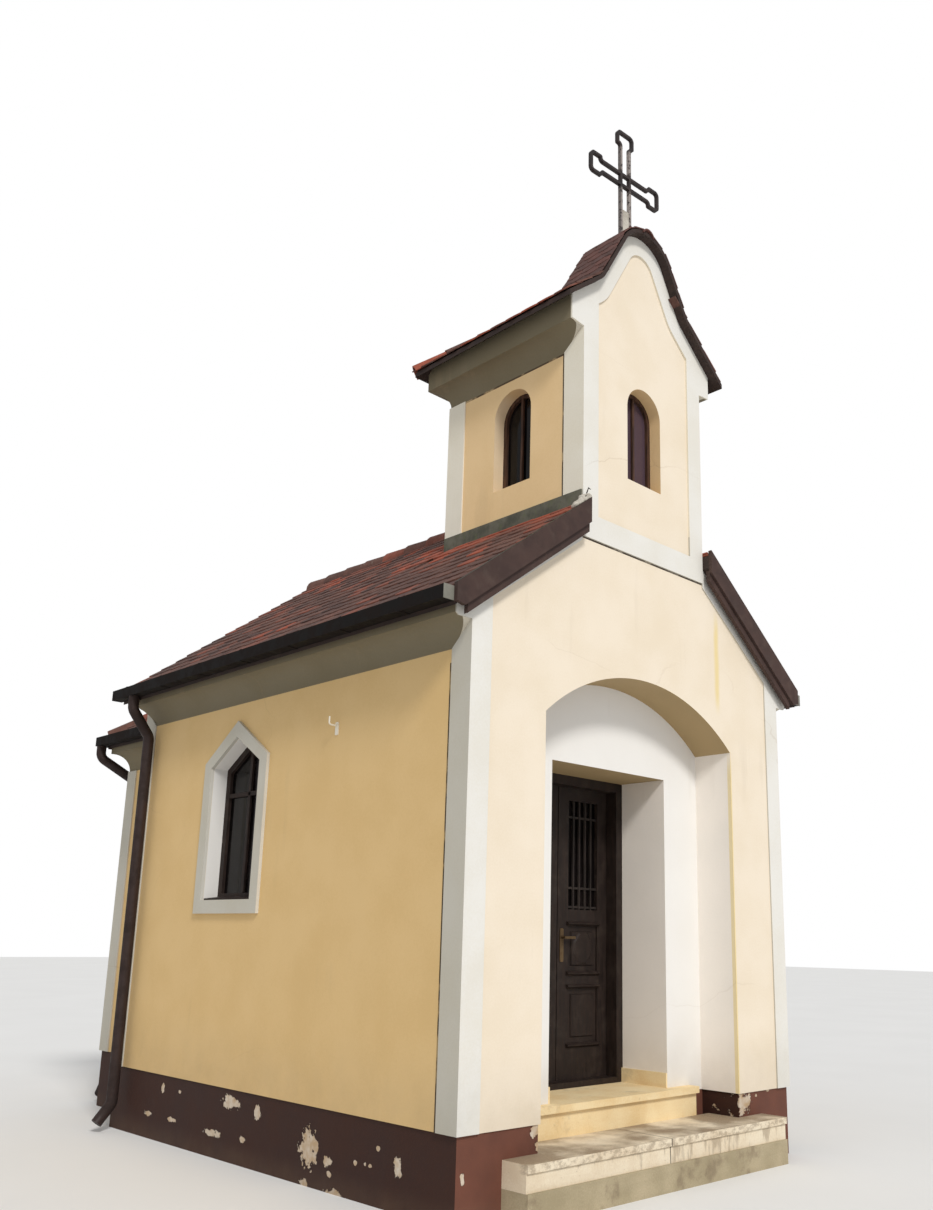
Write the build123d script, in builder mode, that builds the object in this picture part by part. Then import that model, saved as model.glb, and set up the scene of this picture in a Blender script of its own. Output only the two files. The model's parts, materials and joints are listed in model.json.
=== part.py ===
"""A small plastered chapel with a belfry, a niche doorway and a low apse.

The origin lies on the centre line, at the facade's plane, on the lowest ground.
X runs to the right along the facade, Y into the building and Z up. Sizes are in millimetres.
"""
from build123d import *
from math import cos, radians, sin, sqrt, tan
import os

os.makedirs("parts", exist_ok=True)

# Site: the ground falls away on the left, and the walls run down to its lowest point
paving = 165            # front paving above the lowest ground

# Nave walls
nave_width = 3400       # over the corner pilasters
nave_length = 4220      # facade to rear face
wall_thickness = 380
front_leaf = 331        # depth of the niche
front_wall = 900        # facade to the inner face at the door
relief = 10             # how far raised plaster stands off the walls
plinth_top = paving + 310
plinth_setback = 10
ceiling_under = paving + 3144
ceiling_depth = 120
ceiling_bearing = 120
floor_top = paving + 350

# Nave roof, its slopes given by the ridge of the boarding and the fall for each millimetre out
roof_ridge = paving + 4846
roof_fall = 0.765
roof_thickness = 80
eave_overhang = 195     # from the wall's raised face to the eave's plumb cut
front_overhang = 70
rear_overhang = 80

# Ridge capping
ridge_half = 110
ridge_rise = 62

# Bargeboards at the front verge
barge_rise = 44         # upper edge above the boarding
barge_depth = 185
barge_thickness = 30
barge_strip_depth = 65
barge_strip_thickness = 25
barge_strip_setback = 95   # behind the eave's plumb cut
barge_end_height = 115  # of the plumb cut at its lower end
barge_end_slope = 70    # run of the cut back below it
barge_past_eave = 10
barge_gap = 2           # to the belfry
barge_lap = 20          # of the strip behind the board
barge_backing = 8

# Cornices under the eaves
cornice_setback = 65    # behind the eave's plumb cut
cove_rise = 174
cornice_fascia = 65
cornice_end_bevel = 16  # of the cornice's white end, under its tip
cornice_end_run = 20
pilaster_width = 170

# Raised band along the gable's rakes
rake_band_depth = 148   # under the boarding's underside, beside the belfry
rake_band_fall = 0.745
panel_half = 1530       # facade panel between the corner pilasters

# Niche and doorway
niche_half = 1030
niche_spring = paving + 2800
niche_rise = 380
door_half = 619
door_top = paving + 2569
door_reveal = 414       # niche back to the frame

# Steps
lower_step_half = 1330
lower_step_front = 200  # ahead of the facade
lower_step_top = paving + 150
tread_thickness = 45
nosing = 30
upper_riser = 270       # behind the facade
upper_step_half = 880
skirting_height = 100
skirting_thickness = 15

# Door
frame_depth = 150
frame_jamb = 59
frame_stop = 12
stop_depth = 100
leaf_thickness = 45
leaf_gap = 5
meeting_gap = 8
sill_height = 40
leaf_floor_gap = 10
stile_width = 112
top_rail = 100
light_bottom = paving + 1590
ledge_height = 34
ledge_projection = 22
ledge_nose_top = 0.6    # shares of the ledge's height
ledge_nose_foot = 0.4
ledge_end = 14          # past the panels
middle_panel_top = paving + 1470
middle_panel_bottom = paving + 1145
lower_panel_top = paving + 1020
lower_panel_bottom = paving + 640
panel_recess = 12
panel_field_margin = 38
panel_field_taper = 30  # degrees
bar_width = 14
bars_per_light = 4
cross_bar_heights = (paving + 1600, paving + 1740, paving + 2270)
cross_bar_depth = 16
pane_setback = 28       # behind the leaf's face
hinge_flap = 45
knuckle_radius = 7
knuckle_length = 45
knuckle_stand_off = 9
hinge_plate = 4
hinge_heights = (paving + 600, paving + 1430, paving + 2260)
handle_height = paving + 1330
handle_inset = 42       # from the leaf's meeting edge
handle_plate_width = 38
handle_plate_height = 240
handle_plate_round = 12
handle_plate = 6
spindle_rise = 55
spindle_radius = 9
spindle_length = 40
lever_depth = 14
lever_height = 20
lever_round = 5
lever_length = 118

# Nave windows, straight-sided pointed openings
window_centre = 2640    # behind the facade
window_half = 350
window_sill = paving + 1613
window_shoulder = paving + 2630
window_apex = paving + 2843
surround_width = 100
surround_relief = 25
window_reveal = 118
window_bar = 55
window_depth = 50
glass_thickness = 6
shoulder_share = 0.4    # of the surround's width that its shoulder rises
apex_share = 1.25       # of the surround's width that its apex rises
sill_back = 30          # thickness of the sill board at the frame
sill_nose = 14          # and at its outer edge
sill_setback = 4

# Rear extension
apse_half = 1310        # over its corner pilasters
apse_length = 1130
apse_wall = 300
apse_arch_spring = paving + 2000
apse_roof_ridge = paving + 4316
apse_overhang = 155
apse_cornice_setback = 25

# Gutters and downspouts
gutter_width = 90
gutter_depth = 85
gutter_wall = 8
gutter_drop = 74        # gutter bottom under the boarding's upper edge
gutter_front = -65      # just behind the bargeboards
gutter_tail = 40
pipe_radius = 44
pipe_gap = 31
pipe_bend = 90
pipe_inset = 215        # centre of the nave's pipes from the rear face
pipe_drop = 110         # plumb part under the gutter
pipe_neck = 330         # gutter to the end of the swan-neck
shoe_height = 70
shoe_rise = 140
shoe_reach = 110

# Belfry
belfry_half = 702       # over its white bands
belfry_length = 1450
belfry_side_wall = 250
belfry_band_bottom = paving + 4094
belfry_band_height = 181
belfry_relief = 14
belfry_strip = 162
belfry_cornice_under = paving + 5712
belfry_cove_bottom = paving + 5574
belfry_ear = 830
belfry_ear_under = paving + 5725
belfry_panel_border = 148
belfry_arch_half = 197
belfry_sill = paving + 4685
belfry_spring = paving + 5276
belfry_reveal = 100
belfry_window_bar = 33
belfry_front_strip = 180
rear_band = 60          # rear panel above the ridge capping

# Roof of the belfry: hipped at the rear, with a front gable that rises to a round crown
belfry_ridge = paving + 6615   # underside of the boards where the slopes meet
belfry_fall = 0.839
belfry_reach = 930
crown_top = paving + 6765
crown_radius = 300
crown_angle = 60.5      # degrees from the crown's top to its straight flank
crown_shift = -35       # of the crown's centre from the building's
flank_hollow = 240      # radius between the flank and the slope
crown_lap = 10          # of the crown's roof past the front wall
belfry_roof_thickness = 30
belfry_roof_front = 85
belfry_rear_overhang = 190

# Flashing where the belfry passes through the nave roof
flashing_top = paving + 4440
flashing_thickness = 6
flashing_apron = 125

# Cross
cross_y = 180
cross_foot_half = 50
cross_bar = 23
cross_depth = 30
cross_top = paving + 7890
cross_arm_height = paving + 7430
cross_span = 400
cross_bud = 130
cross_bud_half = 96
cross_bud_round = 42
cross_neck_round = 15
cross_turn = 4          # degrees, its right arm forward
post_top = paving + 7150
post_depth = 20
saddle_height = 50
saddle_half = 85
saddle_depth = 120

# Hook on the left wall
hook_y = 1350
hook_height = paving + 2750
hook_plate = 8
hook_plate_width = 34
hook_plate_height = 90
hook_rod = 6
hook_rod_rise = 20
hook_reach = 70
hook_bend = 18

wall_half = nave_width / 2 - relief
roof_reach = nave_width / 2 + eave_overhang
cornice_projection = eave_overhang - cornice_setback
apse_roof_reach = apse_half + apse_overhang
apse_cornice_projection = apse_overhang - apse_cornice_setback
inner_half = wall_half - wall_thickness
roof_drop = roof_thickness * sqrt(1 + roof_fall ** 2)
frame_back = front_leaf + door_reveal + frame_depth
frame_front = front_leaf + door_reveal
rear_inner = nave_length - wall_thickness
apse_wall_half = apse_half - relief
apse_inner_half = apse_wall_half - apse_wall
apse_rear = nave_length + apse_length
belfry_wall_half = belfry_half - relief
belfry_inner_half = belfry_wall_half - belfry_side_wall
belfry_rear_face = belfry_length + relief
belfry_rear_eave = belfry_length + belfry_rear_overhang
belfry_eave = belfry_ridge - belfry_fall * belfry_reach
ceiling_top = ceiling_under + ceiling_depth


def boarding(x, below=0):
    """Height of the nave roof's boarding at a distance from the centre line, less a drop."""
    return roof_ridge - roof_fall * abs(x) - below


def underside(x):
    """Height of the nave roof's underside at a distance from the centre line."""
    return boarding(x, roof_drop)


def upright(y):
    """Plane across the building at a depth behind the facade, facing the front."""
    return Plane.XZ.offset(-y)


def write(piece, label):
    """Label a finished piece and write its STEP file."""
    piece.part.label = label
    export_step(piece.part, f"parts/{label}.step")


def outline(*points, mode=Mode.ADD):
    """Add the closed shape through the points to the sketch being made."""
    Polygon(*points, align=None, mode=mode)


def span(low, high, mode=Mode.ADD):
    """Add the rectangle between two corners to the sketch being made."""
    with Locations(((low[0] + high[0]) / 2, (low[1] + high[1]) / 2)):
        Rectangle(high[0] - low[0], high[1] - low[1], mode=mode)


# Lowest course under the steps
with BuildPart() as step_footing:
    with BuildSketch():
        span((-lower_step_half, -lower_step_front), (lower_step_half, plinth_setback))
        span((-niche_half, plinth_setback), (niche_half, upper_riser))
    extrude(amount=paving)
write(step_footing, "step_footing")

# Lower step: a riser slab under a tread with a small nosing
with BuildPart() as lower_step:
    riser_top = lower_step_top - tread_thickness
    with BuildSketch(Plane.XY.offset(paving)):
        span((-lower_step_half, -lower_step_front), (lower_step_half, plinth_setback))
        span((-niche_half, plinth_setback), (niche_half, upper_riser))
    extrude(amount=lower_step_top - paving)
    with BuildSketch(Plane.XY.offset(paving)):
        span((-lower_step_half, -lower_step_front), (lower_step_half, -lower_step_front + nosing / 2))
    extrude(amount=riser_top - paving, mode=Mode.SUBTRACT)
write(lower_step, "lower_step")

# Upper step, which is also the doorway's floor
with BuildPart() as door_step:
    with BuildSketch():
        span((-upper_step_half, upper_riser), (upper_step_half, front_leaf))
        span((-door_half, front_leaf), (door_half, front_wall))
    extrude(amount=floor_top)
    with BuildSketch(Plane.XY.offset(floor_top - tread_thickness)):
        span((-upper_step_half, upper_riser - nosing), (upper_step_half, upper_riser))
    extrude(amount=tread_thickness)
write(door_step, "door_step")

# Floor of the nave and of the apse, on its fill
with BuildPart() as nave_floor:
    with BuildSketch():
        span((-inner_half, front_wall), (inner_half, rear_inner))
        span((-apse_inner_half, rear_inner), (apse_inner_half, apse_rear - apse_wall - relief))
    extrude(amount=floor_top)
write(nave_floor, "nave_floor")

plinth_half = wall_half - plinth_setback

# Plinths that carry the front piers, stepped back round the niche
with BuildPart() as front_plinths:
    with BuildSketch():
        outline(
            (-plinth_half, plinth_setback),
            (-niche_half - plinth_setback, plinth_setback),
            (-niche_half - plinth_setback, front_leaf),
            (-upper_step_half, front_leaf),
            (-door_half, front_leaf),
            (-door_half, front_wall),
            (-plinth_half, front_wall),
        )
    extrude(amount=plinth_top)
    mirror(about=Plane.YZ)
write(front_plinths, "front_plinths")

# Plinths under the side walls, turned in under the rear wall
with BuildPart() as side_plinths:
    with BuildSketch():
        outline(
            (-plinth_half, front_wall),
            (-inner_half, front_wall),
            (-inner_half, rear_inner),
            (-apse_inner_half, rear_inner),
            (-apse_inner_half, nave_length - plinth_setback),
            (-plinth_half, nave_length - plinth_setback),
        )
    extrude(amount=plinth_top)
    mirror(about=Plane.YZ)
write(side_plinths, "side_plinths")

apse_plinth_half = apse_wall_half - plinth_setback
apse_inner_rear = apse_rear - relief - apse_wall

# Plinth round the rear extension
with BuildPart() as apse_plinth:
    with BuildSketch():
        outline(
            (-apse_plinth_half, nave_length - plinth_setback),
            (-apse_inner_half, nave_length - plinth_setback),
            (-apse_inner_half, apse_inner_rear),
            (apse_inner_half, apse_inner_rear),
            (apse_inner_half, nave_length - plinth_setback),
            (apse_plinth_half, nave_length - plinth_setback),
            (apse_plinth_half, apse_rear - relief - plinth_setback),
            (-apse_plinth_half, apse_rear - relief - plinth_setback),
        )
    extrude(amount=plinth_top)
write(apse_plinth, "apse_plinth")


def pointed_window(grow=0):
    """Add the nave window's outline, widened all round, to the sketch being made."""
    outline(
        (window_centre - window_half - grow, window_sill - grow),
        (window_centre + window_half + grow, window_sill - grow),
        (window_centre + window_half + grow, window_shoulder + grow * shoulder_share),
        (window_centre, window_apex + grow * apex_share),
        (window_centre - window_half - grow, window_shoulder + grow * shoulder_share),
    )


def side_wall(side):
    """A side wall with its window, thinner above the ledge that carries the ceiling."""
    ledge = inner_half + ceiling_bearing
    with BuildPart() as wall:
        with BuildSketch(upright(front_wall)):
            outline(
                (side * wall_half, plinth_top),
                (side * inner_half, plinth_top),
                (side * inner_half, ceiling_under),
                (side * ledge, ceiling_under),
                (side * ledge, underside(ledge)),
                (side * wall_half, underside(wall_half)),
            )
        extrude(amount=front_wall - rear_inner)
        with BuildSketch(Plane.YZ.offset(side * wall_half)):
            pointed_window()
        extrude(amount=-side * wall_thickness, mode=Mode.SUBTRACT)
    return wall


left_wall = side_wall(-1)
write(left_wall, "left_wall")
right_wall = side_wall(1)
write(right_wall, "right_wall")


def front_pier(side):
    """The pier beside the doorway, with the niche's jamb stepped into it."""
    with BuildPart() as pier:
        with BuildSketch(Plane.XY.offset(plinth_top)):
            outline(
                (side * wall_half, 0),
                (side * niche_half, 0),
                (side * niche_half, front_leaf),
                (side * door_half, front_leaf),
                (side * door_half, front_wall),
                (side * wall_half, front_wall),
            )
        extrude(amount=door_top - plinth_top)
    return pier


front_pier_left = front_pier(-1)
write(front_pier_left, "front_pier_left")
front_pier_right = front_pier(1)
write(front_pier_right, "front_pier_right")

# Facade over the niche, cut by the segmental arch
with BuildPart() as facade_gable:
    with BuildSketch(upright(0)):
        outline(
            (-wall_half, door_top),
            (wall_half, door_top),
            (wall_half, underside(wall_half)),
            (belfry_half, underside(belfry_half)),
            (-belfry_half, underside(belfry_half)),
            (-wall_half, underside(wall_half)),
        )
        with BuildLine():
            Line((-niche_half, door_top), (-niche_half, niche_spring))
            ThreePointArc(
                (-niche_half, niche_spring),
                (0, niche_spring + niche_rise),
                (niche_half, niche_spring),
            )
            Line((niche_half, niche_spring), (niche_half, door_top))
            Line((niche_half, door_top), (-niche_half, door_top))
        make_face(mode=Mode.SUBTRACT)
    extrude(amount=-front_leaf)
write(facade_gable, "facade_gable")

# Wall over the doorway, behind the facade, with its shoulders under the roof
with BuildPart() as door_head_wall:
    with BuildSketch(upright(front_leaf)):
        outline(
            (-wall_half, door_top),
            (wall_half, door_top),
            (wall_half, underside(wall_half)),
            (belfry_half, underside(belfry_half)),
            (belfry_half, ceiling_top),
            (-belfry_half, ceiling_top),
            (-belfry_half, underside(belfry_half)),
            (-wall_half, underside(wall_half)),
        )
    extrude(amount=front_leaf - front_wall)
write(door_head_wall, "door_head_wall")

# Rear wall of the nave, with the arch into the apse
with BuildPart() as rear_wall:
    with BuildSketch(upright(rear_inner)):
        outline(
            (-wall_half, plinth_top),
            (wall_half, plinth_top),
            (wall_half, underside(wall_half)),
            (0, underside(0)),
            (-wall_half, underside(wall_half)),
        )
        span((-apse_inner_half, plinth_top), (apse_inner_half, apse_arch_spring), mode=Mode.SUBTRACT)
        with Locations((0, apse_arch_spring)):
            Circle(apse_inner_half, mode=Mode.SUBTRACT)
    extrude(amount=rear_inner - nave_length)
write(rear_wall, "rear_wall")

# Ceiling of the nave, bearing on the side walls' ledges
with BuildPart() as nave_ceiling:
    with BuildSketch(Plane.XY.offset(ceiling_under)):
        span(
            (-inner_half - ceiling_bearing, front_wall),
            (inner_half + ceiling_bearing, rear_inner),
        )
    extrude(amount=ceiling_depth)
write(nave_ceiling, "nave_ceiling")


def apse_roof_form(drop, base):
    """Hipped form over the apse: its slopes are lowered by a drop and it stands on a base."""
    eave = apse_roof_ridge - roof_fall * apse_roof_reach
    rear_eave = apse_rear + apse_overhang
    with BuildPart() as form:
        with BuildSketch(upright(nave_length)):
            outline(
                (-apse_roof_reach, base),
                (apse_roof_reach, base),
                (apse_roof_reach, eave - drop),
                (0, apse_roof_ridge - drop),
                (-apse_roof_reach, eave - drop),
            )
        extrude(amount=nave_length - rear_eave)
        with BuildSketch(Plane.YZ):
            outline(
                (nave_length, base),
                (rear_eave, base),
                (rear_eave, eave - drop),
                (nave_length, apse_roof_ridge - drop),
            )
        extrude(amount=apse_roof_reach, both=True, mode=Mode.INTERSECT)
    return form.part


apse_eave = apse_roof_ridge - roof_fall * apse_roof_reach
apse_form_under_roof = apse_roof_form(roof_drop, 0)

# Walls of the rear extension, cut off under its roof
with BuildPart() as apse_walls:
    with BuildSketch(Plane.XY.offset(plinth_top)):
        outline(
            (-apse_wall_half, nave_length),
            (-apse_inner_half, nave_length),
            (-apse_inner_half, apse_inner_rear),
            (apse_inner_half, apse_inner_rear),
            (apse_inner_half, nave_length),
            (apse_wall_half, nave_length),
            (apse_wall_half, apse_rear - relief),
            (-apse_wall_half, apse_rear - relief),
        )
    extrude(amount=apse_roof_ridge - plinth_top)
    add(apse_form_under_roof, mode=Mode.INTERSECT)
write(apse_walls, "apse_walls")

# Roof of the rear extension, one thickness of boarding all over
with BuildPart() as apse_roof:
    add(apse_roof_form(0, apse_eave - roof_drop))
    add(apse_form_under_roof, mode=Mode.SUBTRACT)
write(apse_roof, "apse_roof")

cornice_tip = nave_width / 2 + cornice_projection
cove_top = underside(cornice_tip) - cornice_fascia
cove_bottom = cove_top - cove_rise
corner_under = cove_top - cornice_end_bevel


def cove(start, tip, low, high, top_at_tip, top_at_start):
    """Add a left-hand hollow cornice section, from its wall line to its tip, to the sketch."""
    with BuildLine() as section:
        EllipticalCenterArc((tip, low), start - tip, high - low, arc_size=90)
        Line((tip, high), (tip, top_at_tip))
        Line((tip, top_at_tip), (start, top_at_start))
        Line((start, top_at_start), (start, low))
    make_face(section.edges())


# Cornices under the nave's eaves, mitred back at the corners of the building
with BuildPart() as nave_cornice:
    with BuildSketch(upright(0)):
        cove(-wall_half, -cornice_tip, cove_bottom, cove_top, underside(cornice_tip), underside(wall_half))
    extrude(amount=-nave_length)
    with BuildSketch(Plane.YZ.offset(-wall_half)):
        outline(
            (0, cove_bottom - relief),
            (pilaster_width, cove_bottom - relief),
            (pilaster_width, cove_bottom),
            (0, corner_under),
        )
        outline(
            (nave_length, cove_bottom - relief),
            (nave_length - pilaster_width, cove_bottom - relief),
            (nave_length - pilaster_width, cove_bottom),
            (nave_length, corner_under),
        )
    extrude(amount=-cornice_projection - 2 * relief, mode=Mode.SUBTRACT)
    mirror(about=Plane.YZ)

apse_cornice_tip = apse_half + apse_cornice_projection
apse_tip_top = apse_roof_ridge - roof_fall * apse_cornice_tip - roof_drop
apse_cove_top = apse_tip_top - cornice_fascia

# Cornice round the rear extension
with BuildPart() as eaves_cornices:
    add(nave_cornice.part)
    with BuildLine() as apse_eave_line:
        Polyline(
            (-apse_wall_half, nave_length + relief, apse_cove_top),
            (-apse_wall_half, apse_rear - relief, apse_cove_top),
            (apse_wall_half, apse_rear - relief, apse_cove_top),
            (apse_wall_half, nave_length + relief, apse_cove_top),
        )
    with BuildSketch(upright(nave_length + relief)):
        cove(
            -apse_wall_half,
            -apse_cornice_tip,
            apse_cove_top - cove_rise,
            apse_cove_top,
            apse_tip_top,
            apse_tip_top,
        )
    sweep(path=apse_eave_line.line, transition=Transition.RIGHT)
write(eaves_cornices, "eaves_cornices")

# Corner pilasters: thin raised plaster on both faces of each corner
with BuildPart() as corner_pilasters:
    with BuildSketch(upright(-relief)):
        span((-wall_half - relief, plinth_top), (-panel_half, corner_under))
    extrude(amount=-relief)
    with BuildSketch(Plane.YZ.offset(-wall_half)):
        outline(
            (-relief, plinth_top),
            (pilaster_width, plinth_top),
            (pilaster_width, cove_bottom),
            (0, corner_under),
            (-relief, corner_under),
        )
    extrude(amount=-relief)
    with BuildSketch(upright(nave_length)):
        span((-wall_half - relief, plinth_top), (-panel_half, corner_under))
    extrude(amount=-relief)
    with BuildSketch(Plane.YZ.offset(-wall_half)):
        outline(
            (nave_length + relief, plinth_top),
            (nave_length - pilaster_width, plinth_top),
            (nave_length - pilaster_width, cove_bottom),
            (nave_length, corner_under),
            (nave_length + relief, corner_under),
        )
    extrude(amount=-relief)
    apse_strip_top = apse_cove_top - cove_rise
    with BuildSketch(upright(apse_rear - relief)):
        span((-apse_half, plinth_top), (-apse_half + pilaster_width, apse_strip_top))
    extrude(amount=-relief)
    with BuildSketch(Plane.YZ.offset(-apse_wall_half)):
        span((apse_rear - pilaster_width, plinth_top), (apse_rear, apse_strip_top))
    extrude(amount=-relief)
    mirror(about=Plane.YZ)
write(corner_pilasters, "corner_pilasters")


def rake_edge(x):
    """Height of the rake band's lower edge at a distance from the centre line."""
    return underside(belfry_half) - rake_band_depth - rake_band_fall * (abs(x) - belfry_half)


# Raised bands along the rakes, ending in the white faces of the cornice ends
with BuildPart() as raking_bands:
    with BuildSketch(upright(-relief)):
        outline(
            (-belfry_half, rake_edge(belfry_half)),
            (-panel_half, rake_edge(panel_half)),
            (-panel_half, corner_under),
            (-cornice_tip + cornice_end_run, corner_under),
            (-cornice_tip, cove_top),
            (-cornice_tip, underside(cornice_tip)),
            (-belfry_half, underside(belfry_half)),
        )
    extrude(amount=-relief)
    mirror(about=Plane.YZ)
write(raking_bands, "raking_bands")

# Raised surrounds of the nave windows
with BuildPart() as window_surrounds:
    with BuildSketch(Plane.YZ.offset(-wall_half)):
        pointed_window(surround_width)
        with BuildLine():
            Polyline(
                (window_centre - window_half, window_sill),
                (window_centre + window_half, window_sill),
                (window_centre + window_half, window_shoulder),
                (window_centre, window_apex),
                (window_centre - window_half, window_shoulder),
                close=True,
            )
        make_face(mode=Mode.SUBTRACT)
    extrude(amount=-surround_relief)
    mirror(about=Plane.YZ)
write(window_surrounds, "window_surrounds")


def roof_slope(side):
    """One slope of the nave roof, cut round the belfry."""
    with BuildPart() as slope:
        with BuildSketch(upright(-front_overhang)):
            outline(
                (0, boarding(0)),
                (side * roof_reach, boarding(roof_reach)),
                (side * roof_reach, underside(roof_reach)),
                (0, underside(0)),
            )
        extrude(amount=-front_overhang - nave_length - rear_overhang)
        with BuildSketch(Plane.XY.offset(underside(roof_reach))):
            span((-belfry_half, -front_overhang), (belfry_half, belfry_rear_face))
        extrude(amount=roof_ridge - underside(roof_reach), mode=Mode.SUBTRACT)
    return slope


left_roof = roof_slope(-1)
write(left_roof, "left_roof")
right_roof = roof_slope(1)
write(right_roof, "right_roof")

# Ridge capping from the belfry to the rear verge
with BuildPart() as ridge_tiles:
    with BuildSketch(upright(belfry_rear_face)):
        with BuildLine():
            ThreePointArc(
                (-ridge_half, boarding(ridge_half)),
                (0, roof_ridge + ridge_rise),
                (ridge_half, boarding(ridge_half)),
            )
            Line((ridge_half, boarding(ridge_half)), (0, roof_ridge))
            Line((0, roof_ridge), (-ridge_half, boarding(ridge_half)))
        make_face()
    extrude(amount=belfry_rear_face - nave_length - rear_overhang)
write(ridge_tiles, "ridge_tiles")

# Two-step bargeboards at the front verge
with BuildPart() as bargeboards:
    inner = belfry_half + barge_gap
    barge_reach = roof_reach + barge_past_eave
    barge_cut = barge_reach - barge_end_slope
    barge_strip_reach = roof_reach - barge_strip_setback
    with BuildSketch(upright(-front_overhang - barge_thickness)):
        outline(
            (-inner, boarding(inner) + barge_rise),
            (-barge_reach, boarding(barge_reach) + barge_rise),
            (-barge_reach, boarding(barge_reach) + barge_rise - barge_end_height),
            (-barge_cut, boarding(barge_cut) + barge_rise - barge_depth),
            (-inner, boarding(inner) + barge_rise - barge_depth),
        )
    extrude(amount=-barge_thickness)
    strip_top = barge_rise - barge_depth + barge_lap
    strip_bottom = barge_rise - barge_depth - barge_strip_depth
    with BuildSketch(upright(-front_overhang)):
        outline(
            (-inner, boarding(inner) + strip_top),
            (-barge_strip_reach, boarding(barge_strip_reach) + strip_top),
            (-barge_strip_reach, boarding(barge_strip_reach) + strip_bottom),
            (-inner, boarding(inner) + strip_bottom),
        )
    extrude(amount=-barge_strip_thickness)
    with BuildSketch(upright(-front_overhang - barge_backing)):
        outline(
            (-inner, boarding(inner) + barge_rise - barge_depth),
            (-barge_strip_reach, boarding(barge_strip_reach) + barge_rise - barge_depth),
            (-barge_strip_reach, boarding(barge_strip_reach) + strip_bottom),
            (-inner, boarding(inner) + strip_bottom),
        )
    extrude(amount=-barge_backing)
    mirror(about=Plane.YZ)
write(bargeboards, "bargeboards")

gutter_base = boarding(roof_reach) - gutter_drop
apse_gutter_base = apse_eave - gutter_drop
apse_gutter_out = apse_roof_reach + gutter_width
apse_gutter_rear = apse_rear + apse_overhang + gutter_width

# Box gutters: one along each eave of the nave and one round the rear extension
with BuildPart() as gutters:
    with BuildSketch(Plane.XY.offset(gutter_base)):
        span(
            (-roof_reach - gutter_width, gutter_front),
            (-roof_reach, nave_length + rear_overhang + gutter_tail),
        )
    extrude(amount=gutter_depth)
    with BuildSketch(Plane.XY.offset(gutter_base + gutter_wall)):
        span(
            (-roof_reach - gutter_width + gutter_wall, gutter_front + gutter_wall),
            (-roof_reach - gutter_wall, nave_length + rear_overhang + gutter_tail - gutter_wall),
        )
    extrude(amount=gutter_depth, mode=Mode.SUBTRACT)
    mirror(about=Plane.YZ)
    with BuildSketch(Plane.XY.offset(apse_gutter_base)):
        span((-apse_gutter_out, nave_length + relief), (apse_gutter_out, apse_gutter_rear))
        span(
            (-apse_roof_reach, nave_length + relief),
            (apse_roof_reach, apse_gutter_rear - gutter_width),
            mode=Mode.SUBTRACT,
        )
    extrude(amount=gutter_depth)
    with BuildSketch(Plane.XY.offset(apse_gutter_base + gutter_wall)):
        span(
            (-apse_gutter_out + gutter_wall, nave_length + relief + gutter_wall),
            (apse_gutter_out - gutter_wall, apse_gutter_rear - gutter_wall),
        )
        span(
            (-apse_roof_reach - gutter_wall, nave_length + relief + gutter_wall),
            (apse_roof_reach + gutter_wall, apse_gutter_rear - gutter_width + gutter_wall),
            mode=Mode.SUBTRACT,
        )
    extrude(amount=gutter_depth, mode=Mode.SUBTRACT)
write(gutters, "gutters")

pipe_x = wall_half + relief + pipe_gap + pipe_radius
pipe_y = nave_length - pipe_inset
pipe_head_x = roof_reach + gutter_width / 2

# Downspouts with a swan-neck below the gutter and a shoe at the foot
with BuildPart() as downspouts:
    with BuildLine() as nave_pipe:
        FilletPolyline(
            (-pipe_head_x, pipe_y, gutter_base),
            (-pipe_head_x, pipe_y, gutter_base - pipe_drop),
            (-pipe_x, pipe_y, gutter_base - pipe_neck),
            (-pipe_x, pipe_y, shoe_height + shoe_rise),
            (-pipe_x - shoe_reach, pipe_y, shoe_height),
            radius=pipe_bend,
        )
    with BuildSketch(Plane.XY.offset(gutter_base)):
        with Locations((-pipe_head_x, pipe_y)):
            Circle(pipe_radius)
    sweep(path=nave_pipe.line)
    apse_pipe_x = apse_half - 3 * pipe_radius
    apse_pipe_y = apse_rear + pipe_gap + pipe_radius
    apse_head_x = apse_gutter_out - gutter_width / 2
    apse_head_y = apse_gutter_rear - gutter_width / 2
    with BuildLine() as apse_pipe:
        FilletPolyline(
            (-apse_head_x, apse_head_y, apse_gutter_base),
            (-apse_head_x, apse_head_y, apse_gutter_base - pipe_drop),
            (-apse_pipe_x, apse_pipe_y, apse_gutter_base - pipe_neck),
            (-apse_pipe_x, apse_pipe_y, shoe_height + shoe_rise),
            (-apse_pipe_x, apse_pipe_y + shoe_reach, shoe_height),
            radius=pipe_bend,
        )
    with BuildSketch(Plane.XY.offset(apse_gutter_base)):
        with Locations((-apse_head_x, apse_head_y)):
            Circle(pipe_radius)
    sweep(path=apse_pipe.line)
    mirror(about=Plane.YZ)
write(downspouts, "downspouts")


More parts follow.
